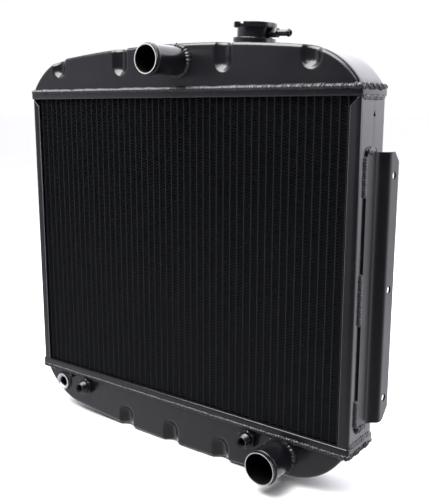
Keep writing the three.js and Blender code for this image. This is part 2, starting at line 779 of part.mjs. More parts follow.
place('inlet_neck', hoseNeck(INLET), 'blackCoat');
place('outlet_neck', hoseNeck(OUTLET), 'blackCoat');
place('inlet_weld', frontWeld(INLET.x, INLET.z, INLET.radius, 3, TANK_FRONT), 'blackWeld');
place('outlet_weld', frontWeld(OUTLET.x, OUTLET.z, OUTLET.radius, 3.4, TANK_FRONT), 'blackWeld');

place('filler_neck', onCrown(fillerNeck()), 'blackCoat');
place('overflow_nipple', onCrown(overflowNipple().translate([0, 0, NIPPLE_HEIGHT])), 'blackCoat');

place('drain_bung', drainBung(), 'bareMetal');
place('drain_bung_weld', frontWeld(BUNG.x, BUNG.z, BUNG.radius, 1.8, TANK_FRONT), 'blackWeld');
place('small_screw', smallScrew(), 'blackCoat');

place('oil_cooler', oilCooler(), 'hiddenMetal');
['left', 'right'].forEach((side, i) => {
  const x = FITTING_X[i];
  place(`cooler_fitting_${side}`, coolerFitting(x), 'blackCoat');
  place(`cooler_nut_${side}`, coolerNut(x), 'blackCoat');
  place(`cooler_washer_${side}`, coolerWasher(x), 'blackCoat');
});

const outletReach = barForward(OUTLET.x, OUTLET.z, OUTLET.radius + 3.7, -10, 3);
place('top_tank_weld', tankWeld().translate([0, 0, CORE_HEIGHT + TRAY_HEIGHT]), 'blackWeld');
place(
  'bottom_tank_weld',
  tankWeld().mirror([0, 0, 1]).translate([0, 0, -TRAY_HEIGHT]).subtract(outletReach),
  'blackWeld',
);
const upperPlateWeld = plateWeld().translate([0, 0, CORE_HEIGHT]);
placePair('upper_plate_weld', upperPlateWeld, 'blackWeld');
placePair('lower_plate_weld', plateWeld().mirror([0, 0, 1]), 'blackWeld');

placePair('bracket', bracket(), 'blackCoat');
placePair('bracket_weld_top', endRun(1), 'blackWeld');
placePair('bracket_weld_low', endRun(-1), 'blackWeld');
BRACKET_STITCHES.forEach(([low, high], i) => {
  placePair(`bracket_stitch_${i + 1}`, stitch(low, high), 'blackWeld');
});

const bounds = new THREE.Box3().setFromObject(group);
group.position.set(
  -(bounds.min.x + bounds.max.x) / 2,
  -(bounds.min.y + bounds.max.y) / 2,
  -bounds.min.z,
);
group.updateMatrixWorld(true);

export default group;
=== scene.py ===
"""Looks of a black-coated downflow car radiator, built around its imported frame.

Every new piece is drawn in millimetres in the maker's drawing frame: X across, Y backwards from
the front faces of the side plates, Z upwards from the foot of the core.  `Datum` turns that into
metres.
"""

from __future__ import annotations

import logging
import math
from dataclasses import dataclass
from enum import Enum
from typing import Callable, Sequence, Union

import bmesh
import bpy
import numpy as np
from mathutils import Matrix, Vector


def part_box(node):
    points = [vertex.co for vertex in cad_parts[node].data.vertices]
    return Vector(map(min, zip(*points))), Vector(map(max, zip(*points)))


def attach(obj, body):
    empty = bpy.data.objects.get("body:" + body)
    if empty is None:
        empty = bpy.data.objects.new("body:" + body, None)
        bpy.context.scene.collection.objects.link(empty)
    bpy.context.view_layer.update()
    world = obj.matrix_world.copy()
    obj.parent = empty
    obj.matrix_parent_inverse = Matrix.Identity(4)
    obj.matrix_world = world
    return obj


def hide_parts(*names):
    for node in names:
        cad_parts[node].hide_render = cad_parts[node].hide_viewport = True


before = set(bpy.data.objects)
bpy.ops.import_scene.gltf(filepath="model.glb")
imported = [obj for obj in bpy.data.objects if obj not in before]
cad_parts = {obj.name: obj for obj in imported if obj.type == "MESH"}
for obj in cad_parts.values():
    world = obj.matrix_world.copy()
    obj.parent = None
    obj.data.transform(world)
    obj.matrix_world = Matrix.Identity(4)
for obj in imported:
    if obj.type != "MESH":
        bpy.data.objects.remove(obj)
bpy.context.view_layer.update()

LOG = logging.getLogger("radiator")
MM = 0.001
TAU = 2 * math.pi
BODY = "root"

Array = np.ndarray
Value = Union[float, int, bool, str, Sequence[float], bpy.types.NodeSocket]


class Slot(Enum):
    """Material slots of the record."""

    COAT = "coat_black"
    WELD = "weld_black"
    CORE = "core_black"
    BARE = "bare_metal"
    HIDDEN = "hidden_metal"


class Place(Enum):
    """A named place on the radiator; its value is the sign of a coordinate."""

    @property
    def label(self) -> str:
        """Word used in the names of pieces."""
        return self.name.lower()


class Side(Place):
    """Right or left, with the sign of X."""

    RIGHT = 1
    LEFT = -1


class End(Place):
    """Upper or lower end, with the sign of Z."""

    UPPER = 1
    LOWER = -1


# --------------------------------------------------------------------------- numbers and drawing


@dataclass(frozen=True)
class Datum:
    """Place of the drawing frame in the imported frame, read from two CAD nodes."""

    front: float
    base: float

    @classmethod
    def read(cls) -> "Datum":
        """Take Y from the front face of a side plate and Z from the foot of the core."""
        return cls(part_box("side_plate_right")[0].y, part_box("core")[0].z)

    def metres(self, points: Array) -> Array:
        """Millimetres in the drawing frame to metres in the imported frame."""
        return points * MM + np.array([0.0, self.front, self.base])


DATUM = Datum.read()


def linear(code: str) -> tuple[float, float, float, float]:
    """Turn an sRGB hex colour into linear light.

    Args:
        code: colour as "#rrggbb".

    Returns:
        Red, green, blue and an alpha of one.
    """
    channels = [int(code[i : i + 2], 16) / 255 for i in (1, 3, 5)]
    straight = [c / 12.92 if c <= 0.04045 else ((c + 0.055) / 1.055) ** 2.4 for c in channels]
    return straight[0], straight[1], straight[2], 1.0


def unit(rows: Array) -> Array:
    """Scale each row to length one; a row of zeros stays zero."""
    return rows / np.maximum(np.linalg.norm(rows, axis=-1, keepdims=True), 1e-9)


def arc_length(line: Array) -> Array:
    """Distance along a polyline at each of its points."""
    return np.concatenate([[0.0], np.cumsum(np.linalg.norm(np.diff(line, axis=0), axis=1))])


def around(steps: int) -> Array:
    """Angles of one full turn in even steps."""
    return np.linspace(0, TAU, steps, endpoint=False)


def lifted(plan: Array, height: Array | float) -> Array:
    """Plan points [x, y] at one height, or at one height each."""
    return np.column_stack([plan, np.broadcast_to(height, len(plan))])


def soften(points: Array, reach: Array | float, steps: int = 5, closed: bool = True) -> Array:
    """Round the corners of an outline.

    Each corner P becomes the parabola (1-u)^2 A + 2u(1-u) P + u^2 B, where A and B lie on the two
    sides at `reach` from P.  Ends of an open outline stay where they are.

    Args:
        points: corners, one per row.
        reach: distance from each corner at which the rounding starts.
        steps: number of chords in each rounding.
        closed: whether the last corner joins the first.

    Returns:
        The rounded outline, `steps + 1` points for each corner.
    """
    reach = np.broadcast_to(np.asarray(reach, float), (len(points),)).copy()
    before, after = np.roll(points, 1, 0) - points, np.roll(points, -1, 0) - points
    if not closed:
        reach[[0, -1]] = 0.0
        before[0], after[-1] = after[0], before[-1]
    start, end = (points + unit(side) * reach[:, None] for side in (before, after))
    u = np.linspace(0, 1, steps + 1)[None, :, None]
    corner = points[:, None]
    rounded = (1 - u) ** 2 * start[:, None] + 2 * u * (1 - u) * corner + u**2 * end[:, None]
    return rounded.reshape(-1, points.shape[1])


def resample(points: Array, spacing: float, closed: bool = False) -> Array:
    """Walk a polyline in equal steps of arc length.

    Args:
        points: corners of the polyline.
        spacing: wanted step.
        closed: whether the last corner joins the first.

    Returns:
        Points at even distances along the polyline.
    """
    line = np.vstack([points, points[:1]]) if closed else points
    length = arc_length(line)
    count = max(2, int(round(length[-1] / spacing)))
    at = np.linspace(0, length[-1], count + 1)
    at = at[:-1] if closed else at
    return np.stack([np.interp(at, length, line[:, k]) for k in range(line.shape[1])], 1)


def outward(points: Array, closed: bool = False) -> Array:
    """Unit normals of a plane polyline that runs anticlockwise: the tangent turned by -90 degrees.

    Args:
        points: the polyline.
        closed: whether the last point joins the first.

    Returns:
        One unit normal for each point.
    """
    if closed:
        tangent = np.roll(points, -1, 0) - np.roll(points, 1, 0)
    else:
        tangent = np.gradient(points, axis=0)
    return unit(np.stack([tangent[:, 1], -tangent[:, 0]], 1))


def lip_ring(half_x: float, y0: float, y1: float, radius: float, inset: float = 0.0) -> Array:
    """Rounded rectangle in plan, anticlockwise.

    Args:
        half_x: half the width.
        y0: front side.
        y1: back side.
        radius: size of the corners.
        inset: distance moved inwards, with the same number of points.

    Returns:
        The outline.
    """
    half_x, y0, y1 = half_x - inset, y0 + inset, y1 - inset
    corners = np.array([[half_x, y0], [half_x, y1], [-half_x, y1], [-half_x, y0]])
    return soften(corners, max(radius - inset, 0.0) * 1.1, 6)


class Net:
    """Points and faces gathered from parameter grids before they become one mesh."""

    def __init__(self) -> None:
        """Start empty."""
        self._points: list[Array] = []
        self._faces: list[tuple[int, ...]] = []
        self._finish: list[int] = []
        self._count = 0

    def grid(
        self,
        points: Array,
        wrap_rows: bool = False,
        wrap_columns: bool = False,
        finish: Array | int = 0,
    ) -> "Net":
        """Add a grid of quads.

        Args:
            points: array of rows x columns x 3.
            wrap_rows: join the last row to the first.
            wrap_columns: join the last column to the first.
            finish: material index, or one index for each column of quads.

        Returns:
            This net, so that calls can be chained.
        """
        rows, columns = points.shape[:2]
        index = np.arange(rows * columns).reshape(rows, columns) + self._count
        index = np.vstack([index, index[:1]]) if wrap_rows else index
        index = np.hstack([index, index[:, :1]]) if wrap_columns else index
        quads = np.stack([index[:-1, :-1], index[1:, :-1], index[1:, 1:], index[:-1, 1:]], -1)
        marks = np.broadcast_to(np.asarray(finish, int), quads.shape[:2])
        self._points.append(points.reshape(-1, 3))
        self._faces += [tuple(quad) for quad in quads.reshape(-1, 4).tolist()]
        self._finish += marks.reshape(-1).tolist()
        self._count += rows * columns
        return self

    def cap(self, ring: Array, finish: int = 0) -> "Net":
        """Close a flat ring of points with one face.

        Args:
            ring: the points in order.
            finish: material index.

        Returns:
            This net.
        """
        self._points.append(ring)
        self._faces.append(tuple(range(self._count, self._count + len(ring))))
        self._finish.append(finish)
        self._count += len(ring)
        return self

    def fold(self, rows: Sequence[Array]) -> "Net":
        """Carry the section of a folded sheet upwards and close its two ends with strips.

        Args:
            rows: the section at each height, one face's points and then the other's in reverse.

        Returns:
            This net.
        """
        self.grid(np.stack(rows, 1), wrap_rows=True)
        half = len(rows[0]) // 2
        for edge in (rows[0], rows[-1]):
            self.grid(np.stack([edge[:half], edge[half:][::-1]], 1))
        return self

    def on(self, place: Place) -> "Net":
        """Mirror the net to the left side or the lower end; elsewhere it stays as drawn."""
        factors = (place.value, 1, 1) if isinstance(place, Side) else (1, 1, place.value)
        self._points = [points * factors for points in self._points]
        return self

    def shape(self, name: str, merge: float = 0.004) -> bpy.types.Object:
        """Turn the net into an object: corners merged, faces turned outwards.

        Args:
            name: name of the object.
            merge: corners nearer than this many millimetres become one.

        Returns:
            The object, linked to the scene, at the origin.
        """
        mesh = bpy.data.meshes.new(name)
        mesh.from_pydata(DATUM.metres(np.vstack(self._points)), [], self._faces)
        mesh.polygons.foreach_set("material_index", np.array(self._finish, np.int32))
        work = bmesh.new()
        work.from_mesh(mesh)
        bmesh.ops.remove_doubles(work, verts=work.verts, dist=merge * MM)
        bmesh.ops.dissolve_degenerate(work, edges=work.edges, dist=merge * MM * 0.5)
        bmesh.ops.recalc_face_normals(work, faces=work.faces)
        work.to_mesh(mesh)
        work.free()
        piece = bpy.data.objects.new(name, mesh)
        bpy.context.scene.collection.objects.link(piece)
        return piece


def turned(
    profile: Array,
    centre: tuple[float, float],
    steps: int = 72,
    warp: Callable[[Array, Array], Array] | None = None,
) -> Array:
    """Turn a [radius, y] profile about an axis along Y: x = cx + r cos a, z = cz + r sin a.

    Args:
        profile: closed or open profile, radius and depth in each row.
        centre: X and Z of the axis.
        steps: number of steps round the axis.
        warp: changes the radii, from a grid of angles and the grid of radii.

    Returns:
        Grid of steps x profile points x 3; rows wrap.
    """
    angle = around(steps)[:, None]
    radius = np.broadcast_to(profile[None, :, 0], (steps, len(profile)))
    radius = warp(angle, radius) if warp else radius
    depth = np.broadcast_to(profile[None, :, 1], radius.shape)
    x, z = centre
    return np.stack([x + radius * np.cos(angle), depth, z + radius * np.sin(angle)], -1)


def hexagonal(across: float, phase: float) -> Callable[[Array, Array], Array]:
    """Warp that keeps radii inside a hexagon: r = min(r, flat / cos of the angle from the flat).

    Args:
        across: width across the flats.
        phase: angle of a corner.

    Returns:
        The warp.
    """

    def keep_inside(angle: Array, radius: Array) -> Array:
        """Cut the radii at the hexagon's sides."""
        turn = np.mod(angle - phase, math.pi / 3) - math.pi / 6
        return np.minimum(radius, across / 2 / np.cos(turn))

    return keep_inside


def drilled(piece: bpy.types.Object, drills: Sequence[bpy.types.Object]) -> bpy.types.Object:
    """Cut each drill out of a piece and remove the drills.

    Args:
        piece: closed piece.
        drills: closed objects to take away from it.

    Returns:
        The piece, with the cuts in its own mesh.
    """
    for drill in drills:
        cut = piece.modifiers.new(drill.name, "BOOLEAN")
        cut.object, cut.operation, cut.solver = drill, "DIFFERENCE", "EXACT"
    bpy.context.view_layer.update()
    evaluated = piece.evaluated_get(bpy.context.evaluated_depsgraph_get())
    mesh = bpy.data.meshes.new_from_object(evaluated)
    piece.modifiers.clear()
    piece.data = mesh
    for drill in drills:
        bpy.data.objects.remove(drill)
    return piece


def rod(name: str, start: Array, end: Array, radius: float, steps: int = 48) -> bpy.types.Object:
    """Closed round bar between two points: start + t (end - start) + r (u cos a + v sin a).

    Args:
        name: name of the object.
        start: centre of one end.
        end: centre of the other end.
        radius: radius in millimetres.
        steps: number of sides.

    Returns:
        The bar as an object, used as a drill.
    """
    axis = Vector(np.asarray(end, float) - np.asarray(start, float)).normalized()
    u = np.array(axis.orthogonal().normalized())
    v = np.cross(np.array(axis), u)
    angle = around(steps)[:, None]
    ring = radius * (np.cos(angle) * u + np.sin(angle) * v)
    net = Net().grid(np.stack([ring + start, ring + end], 1), wrap_rows=True)
    return net.cap(ring + start).cap(ring + end).shape(name)


def front_bore(
    name: str, centre: tuple[float, float], radius: float, steps: int
) -> bpy.types.Object:
    """Drill along Y that is long enough for a tank's front wall.

    Args:
        name: name of the drill.
        centre: X and Z of its axis.
        radius: radius in millimetres.
        steps: number of sides.

    Returns:
        The drill.
    """
    x, z = centre
    return rod(name, [x, -6, z], [x, 12, z], radius, steps)


# ------------------------------------------------------------------------------------- finishes


def add(
    tree: bpy.types.NodeTree, kind: str, settings: dict[str, Value] | None = None, **inputs: Value
) -> bpy.types.Node:
    """Add one node.

    Args:
        tree: node tree that takes the node.
        kind: node type without its "ShaderNode" prefix.
        settings: properties of the node itself.
        inputs: socket values or links, named with _ for a space; `_0`, `_1` go by number.

    Returns:
        The new node.
    """
    node = tree.nodes.new("ShaderNode" + kind)
    for name, value in (settings or {}).items():
        setattr(node, name, value)
    for name, value in inputs.items():
        number = name.lstrip("_")
        key = int(number) if number.isdigit() else name.replace("_", " ")
        socket = node.inputs[key]
        if isinstance(value, bpy.types.NodeSocket):
            tree.links.new(value, socket)
        else:
            socket.default_value = value
    return node


def wave_scale(period_mm: float) -> float:
    """Scale of a wave texture whose stripes repeat after a period; its phase is 20 * scale * x."""
    return math.pi / (10 * period_mm * MM)


def join_finish(
    tree: bpy.types.NodeTree,
    pattern: bpy.types.NodeSocket,
    colours: tuple[str, str],
    relief: Sequence[tuple[bpy.types.NodeSocket, float]],
    roughness: float | tuple[float, float],
    **shader: Value,
) -> None:
    """Put a finish together: two colours mixed by a pattern, layers of relief, and the shader.

    Args:
        tree: node tree that takes the nodes.
        pattern: mixes the colours and, where the roughness is a pair, the roughness.
        colours: sRGB colours where the pattern is low and high.
        relief: pattern and height in millimetres of each layer, coarsest first.
        roughness: one value, or the values where the pattern is low and high.
        shader: further sockets of the shader.
    """
    tint = add(tree, "Mix", {"data_type": "RGBA"}, Factor=pattern)
    for socket, colour in zip(("A", "B"), colours):
        tint.inputs[socket].default_value = linear(colour)
    for height, depth in relief:
        normal = {key: shader[key] for key in shader if key == "Normal"}
        layer = add(tree, "Bump", Height=height, Distance=depth * MM, Strength=1.0, **normal)
        shader["Normal"] = layer.outputs["Normal"]
    if isinstance(roughness, tuple):
        low, high = roughness
        gloss = add(
            tree, "MapRange", Value=pattern, From_Min=0.3, From_Max=0.7, To_Min=low, To_Max=high
        )
        roughness = gloss.outputs["Result"]
    colour = tint.outputs["Result"]
    body = add(tree, "BsdfPrincipled", Base_Color=colour, Roughness=roughness, **shader)
    add(tree, "OutputMaterial", Surface=body.outputs["BSDF"])


@dataclass(frozen=True)
class Finish:
    """A finish that reads the place on the object."""

    name: str

    def make(self) -> bpy.types.Material:
        """Build the node material."""
        material = bpy.data.materials.new(self.name)
        material.use_nodes = True
        tree = material.node_tree
        tree.nodes.clear()
        self.lay(tree, add(tree, "TexCoord").outputs["Object"])
        return material

    def lay(self, tree: bpy.types.NodeTree, place: bpy.types.NodeSocket) -> None:
        """Add the nodes of this finish.

        Args:
            tree: takes the nodes.
            place: the place on the object.
        """
        raise NotImplementedError


@dataclass(frozen=True)
class PowderCoat(Finish):
    """Semi-gloss black powder coat, baked on aluminium sheet.

    Gives the eye a deep black with a soft sheen, broken by orange peel and slow waves of the sheet.
    """

    name: str = "powder_coat_semigloss_black"
    colours: tuple[str, str] = ("#0e0d11", "#141317")
    roughness: float = 0.25
    spread: float = 0.04
    peel_mm: float = 1.9
    peel_height_mm: float = 0.010
    wave_mm: float = 55.0
    wave_height_mm: float = 0.16
    ior: float = 1.52

    def lay(self, tree: bpy.types.NodeTree, place: bpy.types.NodeSocket) -> None:
        """Slow waves of colour, gloss and relief, with the peel on top.

        Args:
            tree: takes the nodes.
            place: the place on the object.
        """
        wave, peel = (
            add(tree, "TexNoise", Vector=place, Scale=1 / (size * MM), Detail=detail, Roughness=k)
            for size, detail, k in ((self.wave_mm, 3.0, 0.55), (self.peel_mm, 2.0, 0.5))
        )
        cloud = wave.outputs["Fac"]
        relief = ((cloud, self.wave_height_mm), (peel.outputs["Fac"], self.peel_height_mm))
        gloss = (self.roughness - self.spread, self.roughness + self.spread)
        join_finish(tree, cloud, self.colours, relief, gloss, IOR=self.ior)


@dataclass(frozen=True)
class CoatedWeld(Finish):
    """Hand-laid weld bead under the same black powder coat.

    Gives the eye a glossier, pitted line, because the coat pools in the ripples; its colours are
    lighter than the plain coat, a painted highlight along the bead.
    """

    name: str = "powder_coat_over_weld"
    # Lighter than the plain coat: painted highlight that brightens the beads.
    colours: tuple[str, str] = ("#15161a", "#26272c")
    gloss: tuple[float, float] = (0.21, 0.37)
    grain_mm: float = 1.1
    grain_height_mm: float = 0.05
    ior: float = 1.52

    def lay(self, tree: bpy.types.NodeTree, place: bpy.types.NodeSocket) -> None:
        """One grain for colour, gloss and relief.

        Args:
            tree: takes the nodes.
            place: the place on the object.
        """
        scale = 1 / (self.grain_mm * MM)
        noise = add(tree, "TexNoise", Vector=place, Scale=scale, Detail=4.0, Roughness=0.6)
        grain = noise.outputs["Fac"]
        relief = ((grain, self.grain_height_mm),)
        join_finish(tree, grain, self.colours, relief, self.gloss, IOR=self.ior)


@dataclass(frozen=True)
class SprayedCore(Finish):
    """Thin black spray over brazed aluminium: fins and tubes.

    Gives the eye a dry, dark lattice; the louvres cut into the fins read as fine stripes in depth.
    """

    name: str
    colours: tuple[str, str]
    roughness: float
    louvred: bool = True
    louvre_mm: float = 1.4
    louvre_height_mm: float = 0.12
    dust_mm: float = 7.0
    speck_mm: float = 0.7
    speck_height_mm: float = 0.02
    ior: float = 1.33

    def lay(self, tree: bpy.types.NodeTree, place: bpy.types.NodeSocket) -> None:
        """Dust over the colour; louvres or fine specks for the relief.

        Args:
            tree: takes the nodes.
            place: the place on the object.
        """
        coarse, fine = (1 / (size * MM) for size in (self.dust_mm, self.speck_mm))
        dust = add(tree, "TexNoise", Vector=place, Scale=coarse, Detail=4.0, Roughness=0.65)
        if self.louvred:
            saw = {"wave_type": "BANDS", "bands_direction": "Y", "wave_profile": "SAW"}
            grain = add(tree, "TexWave", saw, Vector=place, Scale=wave_scale(self.louvre_mm))
            height = self.louvre_height_mm
        else:
            grain = add(tree, "TexNoise", Vector=place, Scale=fine, Detail=2.0)
            height = self.speck_height_mm
        relief = ((grain.outputs["Fac"], height),)
        join_finish(
            tree, dust.outputs["Fac"], self.colours, relief, self.roughness, IOR=self.ior
        )


@dataclass(frozen=True)
class TurnedAluminium(Finish):
    """Bare aluminium faced on a lathe: bright, with fine rings about the turning axis."""

    name: str
    centre: tuple[float, float]
    colours: tuple[str, str] = ("#f4f4f5", "#dddee0")
    roughness: float = 0.55
    ring_mm: float = 0.7
    ring_height_mm: float = 0.008
    stain_mm: float = 5.0

    def lay(self, tree: bpy.types.NodeTree, place: bpy.types.NodeSocket) -> None:
        """Rings about the axis for the relief, faint stains for the colour.

        Args:
            tree: takes the nodes.
            place: the place on the object.
        """
        x, z = self.centre
        axis = DATUM.metres(np.array([x, 0.0, z]))
        local = add(tree, "Mapping", {"vector_type": "POINT"}, Vector=place, Location=tuple(-axis))
        rings = add(
            tree,
            "TexWave",
            {"wave_type": "RINGS", "rings_direction": "Y", "wave_profile": "SIN"},
            Vector=local.outputs["Vector"],
            Scale=wave_scale(self.ring_mm),
        )
        stain = add(tree, "TexNoise", Vector=place, Scale=1 / (self.stain_mm * MM), Detail=3.0)
        relief = ((rings.outputs["Fac"], self.ring_height_mm),)
        join_finish(
            tree, stain.outputs["Fac"], self.colours, relief, self.roughness, Metallic=1.0
        )


@dataclass(frozen=True)
class MillAluminium(Finish):
    """Drawn aluminium tube as it left the mill: satin, with long draw lines along X."""

    name: str = "aluminium_drawn_mill_finish"
    colours: tuple[str, str] = ("#8b8d90", "#a9abad")
    roughness: float = 0.42
    line_mm: float = 0.9
    line_height_mm: float = 0.01
    stretch: float = 0.04

    def lay(self, tree: bpy.types.NodeTree, place: bpy.types.NodeSocket) -> None:
        """Noise drawn out along X, for colour and relief.

        Args:
            tree: takes the nodes.
            place: the place on the object.
        """
        drawn = add(tree, "Mapping", Vector=place, Scale=(self.stretch, 1.0, 1.0)).outputs["Vector"]
        noise = add(tree, "TexNoise", Vector=drawn, Scale=1 / (self.line_mm * MM), Detail=3.0)
        lines = noise.outputs["Fac"]
        relief = ((lines, self.line_height_mm),)
        join_finish(tree, lines, self.colours, relief, self.roughness, Metallic=1.0)


@dataclass(frozen=True)
class Dresser:
    """Gives a piece its materials, its body and the CAD nodes it stands for."""

    coat: bpy.types.Material
    rough_coat: bpy.types.Material
    # Painted highlight: lighter coat for the side plates' flange lips and upper edge.
    edge: bpy.types.Material
    weld: bpy.types.Material
    fin: bpy.types.Material
    tube: bpy.types.Material
    hidden: bpy.types.Material
    # Painted shade: darker aluminium for the insides of bores.
    bore: bpy.types.Material

    @classmethod
    def stocked(cls) -> "Dresser":
        """Make the shared finishes."""
        textured = PowderCoat(
            "powder_coat_textured_black", ("#0b0a0d", "#121115"), roughness=0.31, peel_mm=0.9,
            peel_height_mm=0.025, ior=1.36,
        )
        # Painted highlight: a lighter coat that stands in for the light caught by the rounded lips
        # and upper edge of the side plates.
        lip_highlight_coat = PowderCoat(
            "powder_coat_thin_on_sheared_edge", ("#3d3d41", "#66666b"), roughness=0.36
        )
        tube = SprayedCore("sprayed_black_flat_tube", ("#0c0d0f", "#15161a"), 0.38, louvred=False)
        # Painted shade: a darker copy of the drawn aluminium for the inside of the neck bores and
        # the bung's thread.
        shaded_bore_metal = MillAluminium("aluminium_dulled_bore", ("#30302d", "#4d4d48"), roughness=0.45)
        return cls(
            coat=PowderCoat().make(),
            rough_coat=textured.make(),
            edge=lip_highlight_coat.make(),
            weld=CoatedWeld().make(),
            fin=SprayedCore("sprayed_black_fin_stock", ("#111215", "#23252a"), 0.45).make(),
            tube=tube.make(),
            hidden=MillAluminium().make(),
            bore=shaded_bore_metal.make(),
        )

    def dress(
        self,
        piece: bpy.types.Object,
        materials: Sequence[bpy.types.Material],
        nodes: Sequence[str],
        sharp: float = 38.0,
        bevel: float = 0.0,
    ) -> bpy.types.Object:
        """Finish one piece.

        Args:
            piece: the object.
            materials: its materials, in the order of its material indices.
            nodes: CAD nodes that it stands for.
            sharp: edges that turn by more than this many degrees stay sharp.
            bevel: width in millimetres of a live bevel on sharp edges, or 0 for none.

        Returns:
            The same object.
        """
        mesh = piece.data
        for material in materials:
            mesh.materials.append(material)
        mesh.polygons.foreach_set("use_smooth", np.ones(len(mesh.polygons), bool))
        mesh.set_sharp_from_angle(angle=math.radians(sharp))
        if bevel:
            edge = piece.modifiers.new("edge", "BEVEL")
            edge.width, edge.segments, edge.limit_method = bevel * MM, 2, "ANGLE"
            edge.angle_limit = math.radians(sharp)
            edge.harden_normals = True
        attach(piece, BODY)
        if nodes:
            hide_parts(*nodes)
        LOG.info("%s: %d faces", piece.name, len(mesh.polygons))
        return piece

    def coated(self, net: Net, name: str, sharp: float) -> bpy.types.Object:
        """Shape a net as the piece of the CAD node of the same name, in the plain coat."""
        return self.dress(net.shape(name), [self.coat], [name], sharp)

    def welded(self, net: Net, name: str) -> bpy.types.Object:
        """Shape a net as the weld bead of the CAD node of the same name."""
        return self.dress(net.shape(name), [self.weld], [name], sharp=70)

    def repaint(self, node: str, material: bpy.types.Material) -> None:
        """Give a carried CAD node its material.

        Args:
            node: name of the node.
            material: its finish.
        """
        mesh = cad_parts[node].data
        mesh.materials.clear()
        mesh.materials.append(material)
        LOG.info("%s: carried over", node)


# ---------------------------------------------------------------------------------- the core


@dataclass(frozen=True)
class Core:
    """Two rows of flat tubes with folded fins between them."""

    tubes: int = 49
    pitch: float = 11.1125
    thickness: float = 2.0
    height: float = 427.0
    front: float = 4.0
    back: float = 63.3
    row_gap: float = 4.3
    fin_recess: float = 0.5
    # Real fin stock stands about 1.8 mm apart; it is drawn a little coarser so that it shows.
    fin_pitch: float = 2.0
    fin_land: float = 0.7
    fin_thickness: float = 0.22
    end_fin: float = 8.85

    @property
    def centres(self) -> Array:
        """X of every tube."""
        return (np.arange(self.tubes) - (self.tubes - 1) / 2) * self.pitch

    def build_tubes(self, dresser: Dresser) -> bpy.types.Object:
        """Flat tubes: a slot-shaped ring carried straight up, one for each tube and row.

        Args:
            dresser: finishes the piece.

        Returns:
            One object with all tubes.
        """
        nose = self.thickness / 2
        depth = (self.back - self.front - self.row_gap) / 2
        angle = np.linspace(0, math.pi, 7)
        near = np.stack([-nose * np.cos(angle), nose - nose * np.sin(angle)], 1)
        far = np.stack([nose * np.cos(angle), depth - nose + nose * np.sin(angle)], 1)
        ring = np.vstack([near, far])
        net = Net()
        for x in self.centres:
            for y in (self.front, self.back - depth):
                plan = ring + [x, y]
                wall = np.stack([lifted(plan, z) for z in (0.0, self.height)], 1)
                net.grid(wall, wrap_rows=True).cap(wall[:, 0]).cap(wall[:, 1])
        piece = net.shape("core_tubes")
        return dresser.dress(piece, [dresser.tube], ["core"], sharp=50)

    def build_fins(self, dresser: Dresser) -> bpy.types.Object:
        """Folded fins: in each gap a ribbon that zigzags from tube to tube.

        Along the ribbon the side alternates, x = left wall, left wall, right wall, right wall, and
        z climbs by the land on a wall and by the rest of the pitch on a crossing.  The ribbon is
        moved by half its thickness along its normal both ways, and stands from front to back.

        Args:
            dresser: finishes the piece.

        Returns:
            One object with all fins.
        """
        half = self.thickness / 2
        walls = self.centres
        left = np.concatenate([[walls[0] - half - self.end_fin], walls + half])
        right = np.concatenate([walls - half, [walls[-1] + half + self.end_fin]])
        folds = int(self.height / self.fin_pitch)
        k = np.arange(2 * folds)
        on_right = (k // 2) % 2
        climb = (k // 2) * self.fin_pitch + (k % 2) * self.fin_land
        slack = (self.height - climb[-1]) / 2
        random = np.random.default_rng(12)
        net = Net()
        y0, y1 = self.front + self.fin_recess, self.back - self.fin_recess
        for low, high in zip(left, right):
            # Each ribbon starts at its own height and breathes a little, as hand-loaded fins do.
            phase = random.uniform(0, TAU, 3)
            drift = 0.35 * np.sin(climb / 61 + phase[0]) + 0.2 * np.sin(climb / 23 + phase[1])
            touch = self.fin_thickness / 2 - 0.02
            x = np.where(on_right, high - touch, low + touch)
            z = climb + slack + drift + 0.4 * math.sin(phase[2])
            line = np.stack([x, z], 1)
            shift = outward(line) * self.fin_thickness / 2
            sides = [line + shift, line - shift]
            corners = [(sides[0], y0), (sides[1], y0), (sides[1], y1), (sides[0], y1)]
            ribbon = np.stack(
                [np.stack([s[:, 0], np.full(len(s), y), s[:, 1]], 1) for s, y in corners], 1
            )
            net.grid(ribbon, wrap_columns=True).cap(ribbon[0]).cap(ribbon[-1])
        piece = net.shape("core_fins", merge=0.001)
        return dresser.dress(piece, [dresser.fin], [], sharp=30)

    def build(self, dresser: Dresser) -> None:
        """Build tubes and fins and repaint the end strips.

        Args:
            dresser: finishes the pieces.
        """
        self.build_tubes(dresser)
        self.build_fins(dresser)
        for side in Side:
            dresser.repaint(f"core_end_strip_{side.label}", dresser.tube)


# ---------------------------------------------------------------------------- sheet metal parts


